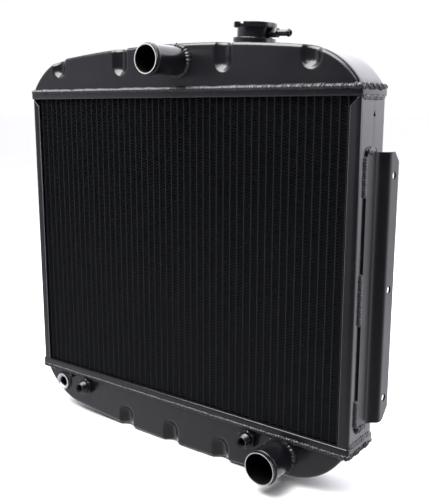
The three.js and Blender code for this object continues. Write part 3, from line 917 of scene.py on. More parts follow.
@dataclass(frozen=True)
class SidePlate:
    """Channel with flanges folded over the core's front and back, cut off at 45 degrees on top."""

    side: Side
    height: float = 427.0
    half_width: float = 284.0
    depth: float = 67.3
    thickness: float = 2.0
    flange: float = 14.0
    bend: float = 4.6
    mitre_from: float = 281.0
    mark: tuple[float, float] = (36.4, 404.5)
    mark_size: tuple[float, float] = (6.4, 6.9)
    # Width of the band of painted highlight along the lips and the upper edge.
    highlight_band: float = 0.7
    # Distances from a flange lip at which its rounding is drawn.
    lip_stations: tuple[float, ...] = (0.0, 0.06, 0.2, 0.42, 0.7)
    # Rounding of the upper edge: drop below the edge, share of the thickness.
    edge_rounding: tuple[tuple[float, float], ...] = (
        (1.0, 1.0), (0.5, 0.87), (0.15, 0.53), (0.0, 0.08),
    )

    def build(self, dresser: Dresser) -> bpy.types.Object:
        """Channel section in plan, carried up to a height that falls at 45 degrees on the flanges.

        The thickness t shrinks over the last millimetre d before a lip as sqrt(1 - (1 - d)^2).

        Args:
            dresser: finishes the piece.

        Returns:
            The plate.
        """
        half = self.thickness / 2
        middle, lip = self.half_width - half, self.half_width - self.flange
        y0, y1 = half, self.depth - half
        corners = np.array([[lip, y0], [middle, y0], [middle, y1], [lip, y1]])
        even = resample(soften(corners, self.bend, 10, closed=False), 1.0)
        stations = np.array(self.lip_stations)[:, None]
        near, far = (
            end + stations * step
            for end, step in ((even[0], even[1] - even[0]), (even[-1], even[-2] - even[-1]))
        )
        line = np.vstack([near, even[1:-1], far[::-1]])
        reach = arc_length(line)
        to_lip = np.clip(np.minimum(reach, reach[-1] - reach), 0, 1)
        share = np.sqrt(np.clip(1 - (1 - to_lip) ** 2, 0.0025, 1))
        spread = outward(line) * (half * share)[:, None]

        def ring(part: float) -> Array:
            """Section with its thickness multiplied by a part."""
            return np.vstack([line + spread * part, (line - spread * part)[::-1]])

        full = ring(1.0)
        top = self.height - np.clip(self.mitre_from - full[:, 0], 0, None)
        rows = [lifted(full, 0.0)]
        rows += [lifted(ring(part), top - drop) for drop, part in self.edge_rounding]
        piece = Net().fold(rows).on(self.side).shape(f"side_plate_{self.side.label}")
        if self.side is Side.RIGHT:
            self.punch_mark(piece, middle)
        # Painted highlight: the lips and the upper edge take the lighter coat.
        self.paint_lip_highlight(piece.data, lip)
        nodes = [f"side_plate_{self.side.label}"]
        return dresser.dress(piece, [dresser.coat, dresser.edge], nodes)

    def punch_mark(self, piece: bpy.types.Object, middle: float) -> None:
        """Punch the small triangle through the web.

        Args:
            piece: the plate.
            middle: X of the middle of the web.
        """
        width, height = self.mark_size
        corners = np.array([[-width / 2, 0.0], [width / 2, 0.0], [0.0, height]]) + self.mark
        ends = [np.column_stack([np.full(3, x), corners]) for x in (middle - 8, middle + 8)]
        punch = Net().grid(np.stack(ends, 1), wrap_rows=True).cap(ends[0]).cap(ends[1])
        drilled(piece, [punch.shape("punch")])

    def paint_lip_highlight(self, mesh: bpy.types.Mesh, lip: float) -> None:
        """Mark the faces on the flange lips and on the upper edge for the lighter coat, a painted
        highlight of their rounding.

        Args:
            mesh: the plate's mesh.
            lip: distance of the flange lips from the middle of the radiator.
        """
        centre = np.empty(3 * len(mesh.polygons))
        mesh.polygons.foreach_get("center", centre)
        x, z = np.abs(centre[0::3]) / MM, (centre[2::3] - DATUM.base) / MM
        top = self.height - np.clip(self.mitre_from - x, 0, None)
        highlight_band = (x < lip + self.highlight_band) | (z > top - self.highlight_band)
        mesh.polygons.foreach_set("material_index", highlight_band.astype(np.int32))


@dataclass(frozen=True)
class HeaderTray:
    """Tube sheet pressed into a tray; its flange turns away from the core, around the tank."""

    end: End
    level: float
    half_width: float = 285.5
    front: float = -1.5
    back: float = 68.8
    height: float = 11.3
    thickness: float = 2.0
    bend: float = 3.0
    corner: float = 5.0

    def build(self, dresser: Dresser) -> bpy.types.Object:
        """Section [inset, z] of floor, bend and flange, carried round a rounded rectangle.

        The floor runs in to half the tray's depth, where front and back meet on the middle line.

        Args:
            dresser: finishes the piece.

        Returns:
            The tray.
        """
        t, top = self.thickness, self.height
        inward = (self.back - self.front) / 2
        under = np.array([[inward, 0.0], [0.0, 0.0], [0.0, top]])
        above = np.array([[t, top], [t, t], [inward, t]])
        section = np.vstack(
            [
                soften(under, self.bend, 8, closed=False),
                soften(above, max(self.bend - t, 0.6), 5, closed=False),
            ]
        )
        sides = (self.half_width, self.front, self.back, self.corner)
        levels = self.level + self.end.value * section[:, 1]
        rows = [lifted(lip_ring(*sides, inset), z) for inset, z in zip(section[:, 0], levels)]
        net = Net().grid(np.stack(rows, 1), wrap_rows=True, wrap_columns=True)
        return dresser.coated(net, f"{self.end.label}_header", 38)


@dataclass(frozen=True)
class Tank:
    """Pressed tank: crowned top, round shoulders, rounded rims, thumb-shaped dimples in front."""

    name: str
    end: End
    crown: float
    crown_radius: float
    shoulder_start: float
    shoulder_radius: float
    dimples: tuple[float, ...]
    dimple_centre: float
    base: float
    front: float = 0.8
    back: float = 66.5
    half_width: float = 282.6
    wall: float = 2.0
    rim: float = 5.5
    dimple_radius: float = 15.5
    dimple_depth: float = 7.2
    dimple_blend: float = 1.5
    skirt_rise: float = 8.0
    skirt_turn: float = 7.0
    rows: int = 32

    def arch(self) -> Array:
        """Right half of the outline from the middle to the foot.

        Height falls by x^2 / 2R over the crown, then follows the shoulder's circle, then the skirt.

        Returns:
            Points [x, z].
        """
        start, radius = self.shoulder_start, self.shoulder_radius
        slope = math.atan(start / self.crown_radius)
        centre = np.array([start - radius * math.sin(slope), 0.0])
        centre[1] = self.crown - start**2 / (2 * self.crown_radius) - radius * math.cos(slope)
        last = math.asin((self.half_width - centre[0]) / radius)
        # On a low tank the circle would pass the foot; there the skirt starts a little above it.
        lowest = self.base + self.skirt_rise
        if centre[1] + radius * math.cos(last) < lowest:
            last = math.acos((lowest - centre[1]) / radius)
        fine = [np.linspace(abs(x) - 18, abs(x) + 18, 30) for x in self.dimples]
        flat = np.unique(np.round(np.concatenate([np.linspace(0, start, 36), *fine]), 2))
        flat = flat[(flat >= 0) & (flat < start)]
        crown = np.stack([flat, self.crown - flat**2 / (2 * self.crown_radius)], 1)
        angle = np.linspace(slope, last, 60)
        shoulder = centre + radius * np.stack([np.sin(angle), np.cos(angle)], 1)
        # The last stretch of the shoulder turns into the skirt on a parabola.
        head, corner = shoulder[-6], shoulder[-1]
        foot = corner - [0.0, self.skirt_turn]
        u = np.linspace(0, 1, 8)[1:, None]
        turn = (1 - u) ** 2 * head + 2 * u * (1 - u) * corner + u**2 * foot
        return np.vstack([crown, shoulder[:-5], turn])

    def pressed(self, x: Array, z: Array, wall: float) -> Array:
        """Depth of the dimples at places on the front: a round-ended groove, softly blended.

        With q the distance from the groove's middle line (or from its round end below it), the
        depth is d = D - R + sqrt(R^2 - q^2), joined to the flat sheet by (d + sqrt(d^2 + k^2)) / 2.

        Args:
            x: places across the front.
            z: their heights.
            wall: distance of the skin inwards from the outside.

        Returns:
            The depth at each place.
        """
        depth = np.zeros_like(x)
        radius, soft = self.dimple_radius + wall, self.dimple_blend
        for centre in self.dimples:
            below = np.clip(self.dimple_centre - z, 0, None)
            q = np.hypot(x - centre, below)
            inside = np.sqrt(np.clip(radius**2 - q**2, 0, None)) - np.clip(q - radius, 0, None)
            d = self.dimple_depth + wall - radius + inside
            # The blend fades out between 2 mm and 8 mm above the sheet.
            fade = np.clip((d + 8) / 6, 0, 1)
            depth += np.where(d > -8, (d + np.sqrt(d**2 + soft**2)) / 2 * fade, 0)
        return depth

    def shell(self, net: Net, wall: float) -> Array:
        """Add one skin of the tank, moved inwards by `wall`.

        Args:
            net: takes the faces.
            wall: distance inwards from the outside.

        Returns:
            The skin's open edge at the base, in order round the tank.
        """
        half = self.arch()
        skirt = np.linspace(half[-1, 1], self.base, self.rows + 1)[1:]
        right = np.vstack([half, np.stack([np.full(self.rows, half[-1, 0]), skirt], 1)])
        line = np.vstack([right[::-1], right[1:] * [-1.0, 1.0]])
        normal = outward(line)
        corner = self.rows
        rim = self.rim - wall
        angle = np.linspace(0, math.pi / 2, 8)
        curve = np.stack([rim * (1 - np.sin(angle)), rim * (1 - np.cos(angle))], 1)
        y0, y1 = self.front + wall, self.back - wall
        span = np.linspace(0, 1, 10)[1:-1]
        middle = np.stack([np.zeros(8), y0 + rim + span * (y1 - y0 - 2 * rim)], 1)
        section = np.vstack([curve + [0, y0], middle, (curve * [1.0, -1.0])[::-1] + [0, y1]])
        inset = wall + section[:, 0]
        x = line[:, 0, None] - normal[:, 0, None] * inset
        z = line[:, 1, None] - normal[:, 1, None] * inset
        z[0], z[-1] = self.base, self.base
        y = np.broadcast_to(section[:, 1], x.shape).copy()
        share = np.clip((y1 - y) / (y1 - y0 - rim), 0, 1)
        y += self.pressed(x[:, :1], z[:, :1], wall) * share
        strip = np.stack([x, y, z], -1)
        net.grid(strip)
        for column, sunk in ((0, True), (-1, False)):
            top = strip[corner : len(line) - corner, column]
            share = np.linspace(0, 1, corner + 1)[None, :]
            fx = np.repeat(top[:, :1], corner + 1, 1)
            fz = self.base + (top[:, 2:] - self.base) * share
            fy = np.full_like(fx, y0 if sunk else y1)
            if sunk:
                fy += self.pressed(fx, fz, wall)
            net.grid(np.stack([fx, fy, fz], -1))
        front_edge, back_edge = (
            lifted(strip[corner : len(line) - corner, column, :2], self.base) for column in (0, -1)
        )
        front_edge[:, 1] = y0 + self.pressed(front_edge[:, 0], front_edge[:, 2], wall)
        return np.vstack([strip[0, ::-1], front_edge[1:-1], strip[-1], back_edge[1:-1][::-1]])

    def build(self, dresser: Dresser, drills: Sequence[bpy.types.Object]) -> bpy.types.Object:
        """Outer and inner skin, joined at the base, with the bores cut.

        Args:
            dresser: finishes the piece.
            drills: bores to cut through the wall.

        Returns:
            The tank.
        """
        net = Net()
        edges = [self.shell(net, wall) for wall in (0.0, self.wall)]
        net.grid(np.stack(edges, 1), wrap_rows=True).on(self.end)
        piece = drilled(net.shape(self.name, merge=0.01), drills)
        return dresser.dress(piece, [dresser.coat], [self.name], sharp=50)


# ---------------------------------------------------------------------------------- weld beads


@dataclass(frozen=True)
class Bead:
    """Hand-laid weld bead: a half-round section whose size swells once for every ripple."""

    width: float
    height: float
    pitch: float = 3.6
    ripple: float = 0.16
    wander: float = 0.10
    lumps: float = 0.10
    lag: float = 0.55
    taper: float = 5.0
    steps: int = 14

    def along(
        self,
        path: Array,
        across: Array,
        rise: Array,
        closed: bool = False,
        coarse: Array | float = 0.0,
    ) -> Array:
        """Carry the section along a path.

        With s the distance along the path and a the angle round the section, the size is
        1 + ripple * b * (2 c^0.7 - 1), where c = |sin(pi (s / pitch + lag * sin a))| draws
        overlapping crescents and b = 1 + coarse.  It is multiplied by 1 + drift + b * lumps: the
        drift is two slow waves in s, as of a hand, and the lumps are the product of two quicker
        ones.  Near an open end it shrinks to a quarter along a parabola.

        Args:
            path: points in 3-D, evenly spaced.
            across: unit vectors from one toe of the bead to the other.
            rise: unit vectors out of the joint.
            closed: whether the path joins up.
            coarse: how much stronger ripples and lumps are at each point, 0 for no change.

        Returns:
            Grid of path points x section points x 3.
        """
        s = arc_length(path)
        total = s[-1] + (np.linalg.norm(path[0] - path[-1]) if closed else 0.0)

        def turns(period: float) -> Array:
            """Distance in periods; round a closed path a whole number of them fits."""
            return s / total * max(1, round(total / period)) if closed else s / period

        angle = around(self.steps)[None, :]
        boost = np.broadcast_to(1 + np.asarray(coarse, float), s.shape)[:, None]
        crescent = np.sin(math.pi * (turns(self.pitch)[:, None] + self.lag * np.sin(angle)))
        size = 1 + self.ripple * boost * (np.abs(crescent) ** 0.7 * 2 - 1)
        slow = TAU * turns(90.0)
        drift = self.wander * (np.sin(slow) + 0.6 * np.sin(2.0 * slow + 1)) / 1.6
        first, second = (TAU * turns(share * self.pitch) for share in (2.3, 3.7))
        blobs = self.lumps * np.sin(first + 1) * np.sin(second + 2)
        size = size * (1 + drift[:, None] + boost * blobs[:, None])
        if not closed:
            reach = np.clip(np.minimum(s, total - s) / self.taper, 0, 1)[:, None]
            size = size * (0.25 + 0.75 * reach * (2 - reach))
        side = (size * np.cos(angle) * self.width / 2)[..., None]
        up = (size * np.sin(angle) * self.height)[..., None]
        return path[:, None] + side * across[:, None] + up * rise[:, None]

    def closed_ends(self, grid: Array) -> Net:
        """Close an open run at its two ends with small domes drawn to a point.

        Args:
            grid: the run, path points x section points x 3.

        Returns:
            A net of the closed bead.
        """
        domes = []
        for near, inner in ((grid[0], grid[2]), (grid[-1], grid[-3])):
            middle = near.mean(0)
            lead = (middle - inner.mean(0)) * 0.6
            rings = ((1.0, 0.02), (0.7, 0.6))
            domes.append([middle + lead * out + (near - middle) * size for out, size in rings])
        full = np.concatenate([np.stack(domes[0]), grid, np.stack(domes[1][::-1])])
        return Net().grid(full, wrap_columns=True).cap(full[0]).cap(full[-1])


@dataclass(frozen=True)
class RoundWeld:
    """Fillet bead round a turned part that stands on a front wall."""

    name: str
    centre: tuple[float, float]
    radius: float
    bead: Bead
    wall_y: float = 0.8

    def build(self, dresser: Dresser) -> bpy.types.Object:
        """A circle carried with the bead's section, tilted 45 degrees into the corner.

        Args:
            dresser: finishes the piece.

        Returns:
            The bead.
        """
        angle = around(240)
        radial = np.stack([np.cos(angle), np.zeros_like(angle), np.sin(angle)], 1)
        x, z = self.centre
        path = radial * (self.radius + 0.5) + [x, self.wall_y - 0.4, z]
        rise = (radial + [0.0, -1.0, 0.0]) / math.sqrt(2)
        grid = self.bead.along(path, rise * [1, -1, 1], rise, closed=True)
        return dresser.welded(Net().grid(grid, wrap_rows=True, wrap_columns=True), self.name)


@dataclass(frozen=True)
class TankWeld:
    """Bead on the edge of a header's flange, all round the tank."""

    name: str
    end: End
    level: float
    bead: Bead = Bead(width=7.0, height=2.9, pitch=4.0, ripple=0.22, wander=0.14, lumps=0.16)
    half_width: float = 282.8
    front: float = -0.3
    back: float = 67.6
    corner: float = 5.0
    spacing: float = 0.62

    def build(self, dresser: Dresser) -> bpy.types.Object:
        """A rounded rectangle carried with the bead's section, leaning against the tank.

        Args:
            dresser: finishes the piece.

        Returns:
            The bead.
        """
        outline = lip_ring(self.half_width, self.front, self.back, self.corner)
        plan = resample(outline, self.spacing, closed=True)
        normal = outward(plan, closed=True)
        up, out = np.array([0.0, 0.0, 1.0]), lifted(normal, 0.0)
        rise, across = out * 0.55 + up * 0.83, out * 0.83 - up * 0.55
        # The short ends of the tank are welded more coarsely than the long sides.
        coarse = 0.35 * np.abs(normal[:, 0]) + 0.3 * (plan[:, 0] > 150)
        grid = self.bead.along(lifted(plan, self.level), across, rise, closed=True, coarse=coarse)
        net = Net().grid(grid, wrap_rows=True, wrap_columns=True).on(self.end)
        return dresser.welded(net, self.name)


@dataclass(frozen=True)
class StraightWeld:
    """Open run of weld on a side plate, from one point to another."""

    name: str
    side: Side
    start: tuple[float, float, float]
    end: tuple[float, float, float]
    bead: Bead
    lean: tuple[float, float, float] = (1.0, 0.0, 0.0)

    def build(self, dresser: Dresser) -> bpy.types.Object:
        """A straight line carried with the bead's section, domed at both ends.

        Args:
            dresser: finishes the piece.

        Returns:
            The bead.
        """
        path = resample(np.array([self.start, self.end], float), 0.6)
        rise = np.broadcast_to(unit(np.array(self.lean)), path.shape)
        across = np.cross(unit(np.gradient(path, axis=0)), rise)
        net = self.bead.closed_ends(self.bead.along(path, across, rise))
        return dresser.welded(net.on(self.side), self.name)


# ---------------------------------------------------------------------- necks, bung and fittings


@dataclass(frozen=True)
class HoseNeck:
    """Hose neck: plain tube with a rolled bead behind a bare, square-cut rim."""

    name: str
    centre: tuple[float, float]
    radius: float
    length: float
    wall: float = 2.0
    foot: float = 0.8
    roll_height: float = 1.7
    roll_half: float = 2.6
    roll_back: float = 6.8

    def drill(self) -> bpy.types.Object:
        """Bore through the tank's front wall."""
        return front_bore(f"{self.name}_bore", self.centre, self.radius - self.wall, 72)

    def build(self, dresser: Dresser) -> bpy.types.Object:
        """Profile turned about Y; the end face and its two chamfers are bare metal.

        Args:
            dresser: finishes the piece.

        Returns:
            The neck.
        """
        r, w, f = self.radius, self.wall, -self.length
        angle = np.linspace(0, math.pi, 11)
        bulge = r + self.roll_height * np.sin(angle)
        roll = np.stack([bulge, f + self.roll_back - self.roll_half * np.cos(angle)], 1)
        inner = np.array([[r - w, self.foot], [r - w, f + 0.5]])
        face = np.array([[r - w + 0.5, f], [r - 0.3, f], [r, f + 0.4]])
        profile = np.vstack([inner, face, roll, [[r, self.foot]]])
        # Material of each strip: the bore, the inner chamfer and the end face come first.
        finish = np.zeros((1, len(profile)), int)
        finish[0, :3] = 2, 2, 1
        net = Net().grid(turned(profile, self.centre, 96), True, True, finish)
        rim = TurnedAluminium(f"aluminium_cut_rim_{self.name}", self.centre).make()
        # The bore strips take the darker aluminium, painted shade inside the neck.
        materials = [dresser.coat, rim, dresser.bore]
        return dresser.dress(net.shape(self.name), materials, [self.name], sharp=42)


@dataclass(frozen=True)
class FillerNeck:
    """Filler neck: flange, barrel, seat and a lip with two notches and turned-down cams."""

    x: float = 115.0
    y: float = 35.0
    crown: float = 498.5
    crown_radius: float = 1960.0
    base_radius: float = 27.75
    barrel: float = 22.9
    lip: float = 28.0
    bore: float = 20.4
    seat: float = 16.0
    height: float = 25.0
    notches: tuple[float, float] = (255.0, 75.0)
    notch_half: float = 13.5
    notch_ease: float = 3.0
    steps: int = 180
    nipple_height: float = 12.8
    nipple_across: float = 11.2

    def stand(self, local: Array) -> Array:
        """Lean the upright neck over with the crown and put it in its place.

        Args:
            local: points of the neck about its own axis, Z up from its foot.

        Returns:
            The same points in the drawing frame.
        """
        lean = math.atan(self.x / self.crown_radius)
        c, s = math.cos(lean), math.sin(lean)
        level = self.crown - self.x**2 / (2 * self.crown_radius) + 0.05
        axes = np.array([[c, 0.0, -s], [0.0, 1.0, 0.0], [s, 0.0, c]])
        return local @ axes + [self.x, self.y, level]

    def drill(self) -> bpy.types.Object:
        """Bore through the crown."""
        low, high = self.stand(np.array([[0, 0, -8.0], [0, 0, 8.0]]))
        return rod("filler_bore", low, high, self.seat + 1.0, 64)

    def build_neck(self, dresser: Dresser) -> bpy.types.Object:
        """Profile [radius, z] turned about the neck's axis; in the notches the lip is cut away.

        The share of the lip left at a bearing is a smooth step in the distance from the nearest
        notch.

        Args:
            dresser: finishes the piece.

        Returns:
            The neck.
        """
        top, under, b = self.height, self.height - 3.0, self.barrel
        flange, lip, cam, bore = self.base_radius, self.lip, under - 3.4, self.bore
        # Each row: radius, height, reach of the rounding.
        corners = np.array(
            [
                [self.seat, 0.0, 0.0], [flange, 0.0, 0.0], [flange, 6.0, 0.9], [b, 6.0, 0.8],
                [b, under, 0.6], [lip - 1.5, under, 0.5], [lip - 1.5, cam, 0.3], [lip, cam, 0.5],
                [lip, top, 1.2], [bore, top, 0.9], [bore, 7.0, 0.8], [self.seat, 6.2, 0.8],
            ]
        )
        profile = soften(corners[:, :2], corners[:, 2], 4)
        angle = around(self.steps)[:, None]
        gap = [np.abs(np.mod(np.degrees(angle) - n + 180, 360) - 180) for n in self.notches]
        share = np.clip((np.minimum(*gap) - self.notch_half) / self.notch_ease, 0, 1)
        share = share * share * (3 - 2 * share)
        radius, height = np.broadcast_arrays(profile[None, :, 0], profile[None, :, 1], angle)[:2]
        radius = np.where((radius > b) & (height > 10), b + (radius - b) * share, radius)
        height = np.where(height > under, under + (height - under) * share, height)
        local = np.stack([radius * np.cos(angle), radius * np.sin(angle), height], -1)
        return dresser.coated(Net().grid(self.stand(local), True, True), "filler_neck", 42)

    def build_nipple(self, dresser: Dresser) -> bpy.types.Object:
        """Hexagon, tube and barb turned about the neck's own X axis, with an open bore.

        Args:
            dresser: finishes the piece.

        Returns:
            The nipple.
        """
        # Each row: radius, distance from the barrel, reach of the rounding.
        corners = np.array(
            [
                [2.5, 0.0, 0.0], [5.2, 0.0, 0.0], [5.2, 1.6, 0.0], [6.6, 2.1, 0.0],
                [6.6, 11.6, 0.2], [5.4, 12.4, 0.3], [3.9, 12.6, 0.4], [3.9, 26.0, 0.2],
                [4.9, 26.8, 0.4], [4.9, 27.8, 0.4], [3.6, 30.5, 0.5], [2.5, 30.5, 0.2],
            ]
        )
        profile = soften(corners[:, :2] + [0.0, self.barrel + 0.05], corners[:, 2], 3)
        flats = hexagonal(self.nipple_across, 0.0)
        grid = turned(profile, (0.0, self.nipple_height), 72, flats)[..., [1, 0, 2]]
        return dresser.coated(Net().grid(self.stand(grid), True, True), "overflow_nipple", 32)

    def build(self, dresser: Dresser) -> None:
        """Build the neck and its nipple."""
        self.build_neck(dresser)
        self.build_nipple(dresser)


@dataclass(frozen=True)
class DrainBung:
    """Thick threaded ring welded to the tank, faced bare, with a countersunk bore."""

    centre: tuple[float, float] = (-235.5, -32.0)
    radius: float = 13.6
    front: float = -3.6
    wall_y: float = 0.8
    bore: float = 7.2
    mouth: float = 10.2
    thread_depth: float = 0.45

    def drill(self) -> bpy.types.Object:
        """Bore through the tank's front wall."""
        return front_bore("bung_bore", self.centre, self.bore, 48)

    def build(self, dresser: Dresser) -> bpy.types.Object:
        """Profile turned about Y: coated outside, bare face and cone, thread rings in the bore.

        Args:
            dresser: finishes the piece.

        Returns:
            The bung.
        """
        f, r, m, b = self.front, self.radius, self.mouth, self.bore
        turns = np.arange(8)
        thread = np.stack([b + self.thread_depth * (turns % 2), self.wall_y - turns * 0.35], 1)
        cone = np.array([[b + 0.3, f + 3.0], [m, f + 0.2], [m + 0.2, f]])
        rim = np.array([[r - 0.8, f], [r - 0.2, f + 0.25], [r, f + 0.9], [r, self.wall_y]])
        profile = np.vstack([[[b, self.wall_y]], thread, cone, rim])
        # Material of each strip: thread, then bare cone and face, then coated outside.
        finish = np.ones((1, len(profile)), int)
        finish[0, :9], finish[0, -3:] = 2, 0
        net = Net().grid(turned(profile, self.centre, 96), True, True, finish)
        face = TurnedAluminium("aluminium_faced_bung", self.centre, roughness=0.5).make()
        # The thread strips take the darker aluminium, painted shade inside the bung.
        materials = [dresser.coat, face, dresser.bore]
        piece = net.shape("drain_bung")
        return dresser.dress(piece, materials, ["drain_bung"], sharp=36)


@dataclass(frozen=True)
class CoolerPort:
    """One oil cooler fitting: threaded body, hexagon locknut and plain washer."""

    side: Side
    centre: tuple[float, float]
    radius: float = 9.3
    bore: float = 5.4
    front: float = -17.0
    foot: float = 3.2
    wall_y: float = 0.8
    across: float = 25.4
    nut: float = 6.4
    washer: float = 1.4
    washer_radius: float = 13.6
    thread_pitch: float = 1.4
    thread_depth: float = 0.55

    def drill(self) -> bpy.types.Object:
        """Hole through the tank's front wall."""
        return front_bore(f"port_bore_{self.side.label}", self.centre, self.radius + 0.3, 48)

    def build(self, dresser: Dresser) -> None:
        """Turn the three pieces about the port's axis.

        The thread is a row of V-shaped rings, the nut is a chamfered disc cut by six flats.

        Args:
            dresser: finishes the pieces.
        """
        f, r, b = self.front, self.radius, self.bore
        back = self.wall_y - self.washer
        ahead = back - self.nut
        stop = ahead - 0.2
        crests = np.arange(f + 2.2, stop, self.thread_pitch / 2)
        thread = np.stack([r - self.thread_depth * (np.arange(len(crests)) % 2), crests], 1)
        mouth = [[b, self.foot], [b, f + 1.4], [b + 1.7, f], [r - 1.3, f], [r - 0.5, f + 0.9]]
        fitting = np.vstack([mouth, thread, [[r - 0.3, stop + 0.4], [r - 0.3, self.foot]]])

        inner, flat, corner = r + 0.15, self.across / 2, self.across / 2 / math.cos(math.pi / 6)
        nut = np.array(
            [
                [inner, back], [inner, ahead + 0.8], [inner + 0.8, ahead], [flat - 0.6, ahead],
                [corner, ahead + 1.5], [corner, back - 0.6], [corner - 0.8, back],
            ]
        )
        outer, wall = self.washer_radius, self.wall_y
        washer = np.array([[inner, wall], [inner, back], [outer, back], [outer, wall]])
        for label, profile, steps, warp, sharp in (
            ("fitting", fitting, 64, None, 40),
            ("nut", soften(nut, 0.3, 2), 96, hexagonal(self.across, math.pi / 6), 28),
            ("washer", soften(washer, 0.35, 3), 72, None, 50),
        ):
            net = Net().grid(turned(profile, self.centre, steps, warp), True, True)
            dresser.coated(net, f"cooler_{label}_{self.side.label}", sharp)


@dataclass(frozen=True)
class SmallScrew:
    """Pan-head screw with a round-bottomed socket, beside the drain."""

    centre: tuple[float, float] = (-215.5, -18.6)
    radius: float = 2.9
    front: float = -4.6
    wall_y: float = 0.8

    def build(self, dresser: Dresser) -> bpy.types.Object:
        """Domed profile turned about Y, with a socket sunk in its middle.

        Args:
            dresser: finishes the piece.

        Returns:
            The screw.
        """
        f, r, wall = self.front, self.radius, self.wall_y
        profile = np.array(
            [
                [0.0, wall], [0.0, f + 1.6], [1.1, f + 1.5], [1.15, f + 0.05], [1.6, f],
                [2.2, f + 0.3], [2.7, f + 0.9], [r, f + 1.7], [r, wall],
            ]
        )
        net = Net().grid(turned(profile, self.centre, 48), True, True)
        return dresser.coated(net, "small_screw", 40)


# ------------------------------------------------------------------------------------ brackets


@dataclass(frozen=True)
class Bracket:
    """Bolting bracket: leg on the side plate, web stepping outwards, drilled outer flange."""

    side: Side
    low: float = 20.0
    high: float = 362.7
    thickness: float = 2.5
    leg_front: float = 17.5
    step: tuple[float, float] = (48.6, 54.6)
    base: float = 284.0
    out: float = 298.6
    back: float = 80.0
    top_clip: float = 12.5
    hole_y: float = 67.5
    hole_radius: float = 5.0
    holes: tuple[float, ...] = (50.0, 192.0, 334.0)
    stitches: tuple[tuple[float, float], ...] = ((22, 60), (153, 220), (309, 360))
    weld_back: float = 42.5

    def build_sheet(self, dresser: Dresser) -> bpy.types.Object:
        """Step-shaped section in plan, carried between two heights that give the clipped corners.

        Args:
            dresser: finishes the piece.

        Returns:
            The bracket.
        """
        half = self.thickness / 2
        leg, flange = self.base + half, self.out - half
        near, far = self.step
        corners = np.array([[leg, self.leg_front], [leg, near], [flange, far], [flange, self.back]])
        line = resample(soften(corners, np.array([0, 9.0, 5.4, 0]), 14, closed=False), 0.9)
        normal = outward(line)
        ring = np.vstack([line + normal * half, (line - normal * half)[::-1]])
        ring[:, 1] = np.clip(ring[:, 1], self.leg_front, self.back)
        y, back = ring[:, 1], self.back
        top = self.high - np.clip(y - (back - self.top_clip), 0, None)
        foot = self.low + np.interp(y, [back - 17, back - 13, back], [0.0, 1.6, 15.0])
        name = f"bracket_{self.side.label}"
        net = Net().fold([lifted(ring, foot), lifted(ring, top)]).on(self.side)
        inside, outside = (self.side.value * (self.out + reach) for reach in (-8, 8))
        y, radius = self.hole_y, self.hole_radius
        drills = [
            rod(f"bolt_{i}", [inside, y, z], [outside, y, z], radius, 40)
            for i, z in enumerate(self.holes)
        ]
        piece = drilled(net.shape(name), drills)
        return dresser.dress(piece, [dresser.rough_coat], [name], sharp=36, bevel=0.3)

    def build_welds(self, dresser: Dresser) -> None:
        """Lay the stitches along the leg's front edge and the runs across its two ends.

        Args:
            dresser: finishes the pieces.
        """
        side, x, y = self.side, self.base + 0.2, self.leg_front
        thin = Bead(width=7.4, height=2.3, pitch=3.0, ripple=0.16, lumps=0.12, taper=2.5)
        thick = Bead(
            width=7.8, height=3.2, pitch=7.5, ripple=0.22, wander=0.14, lumps=0.2, taper=4.0
        )
        for i, (low, high) in enumerate(self.stitches):
            start, end = ((x + 0.3, y - 1.0, z) for z in (low + 1, high - 1))
            name = f"bracket_stitch_{i + 1}_{side.label}"
            StraightWeld(name, side, start, end, thin, (0.96, -0.28, 0.0)).build(dresser)
        for label, z, lean in (("top", self.high + 2.2, 0.45), ("low", self.low - 2.2, -0.45)):
            start, end = (x, y + 1.0, z), (x, self.weld_back, z)
            name = f"bracket_weld_{label}_{side.label}"
            StraightWeld(name, side, start, end, thick, (0.9, 0.0, lean)).build(dresser)

    def build(self, dresser: Dresser) -> None:
        """Build the sheet and its welds."""
        self.build_sheet(dresser)
        self.build_welds(dresser)


# -------------------------------------------------------------------------------------- studio


@dataclass(frozen=True)
class Panel:
    """Soft rectangular light, aimed at a point."""

    name: str
    place: tuple[float, float, float]
    target: tuple[float, float, float]
    size: tuple[float, float]
    power: float

    def hang(self) -> None:
        """Put the light in the scene."""
        data = bpy.data.lights.new(self.name, "AREA")
        data.shape, data.energy = "RECTANGLE", self.power
        data.size, data.size_y = self.size
        lamp = bpy.data.objects.new(self.name, data)
        lamp.location = self.place
        aim = Vector(self.target) - Vector(self.place)
        lamp.rotation_euler = aim.to_track_quat("-Z", "Y").to_euler()
        bpy.context.scene.collection.objects.link(lamp)


@dataclass(frozen=True)
class FloorPaint(Finish):
    """Matt white floor paint, with a faint mottle."""

    name: str = "pale_floor_paint"
    colours: tuple[str, str] = ("#fafafa", "#fefefe")
    roughness: float = 0.75
    mottle_scale: float = 6.0

    def lay(self, tree: bpy.types.NodeTree, place: bpy.types.NodeSocket) -> None:
        """One slow pattern for the colour, no relief.

        Args:
            tree: takes the nodes.
            place: the place on the object.
        """
        mottle = add(tree, "TexNoise", Vector=place, Scale=self.mottle_scale, Detail=2.0)
        join_finish(tree, mottle.outputs["Fac"], self.colours, (), self.roughness)


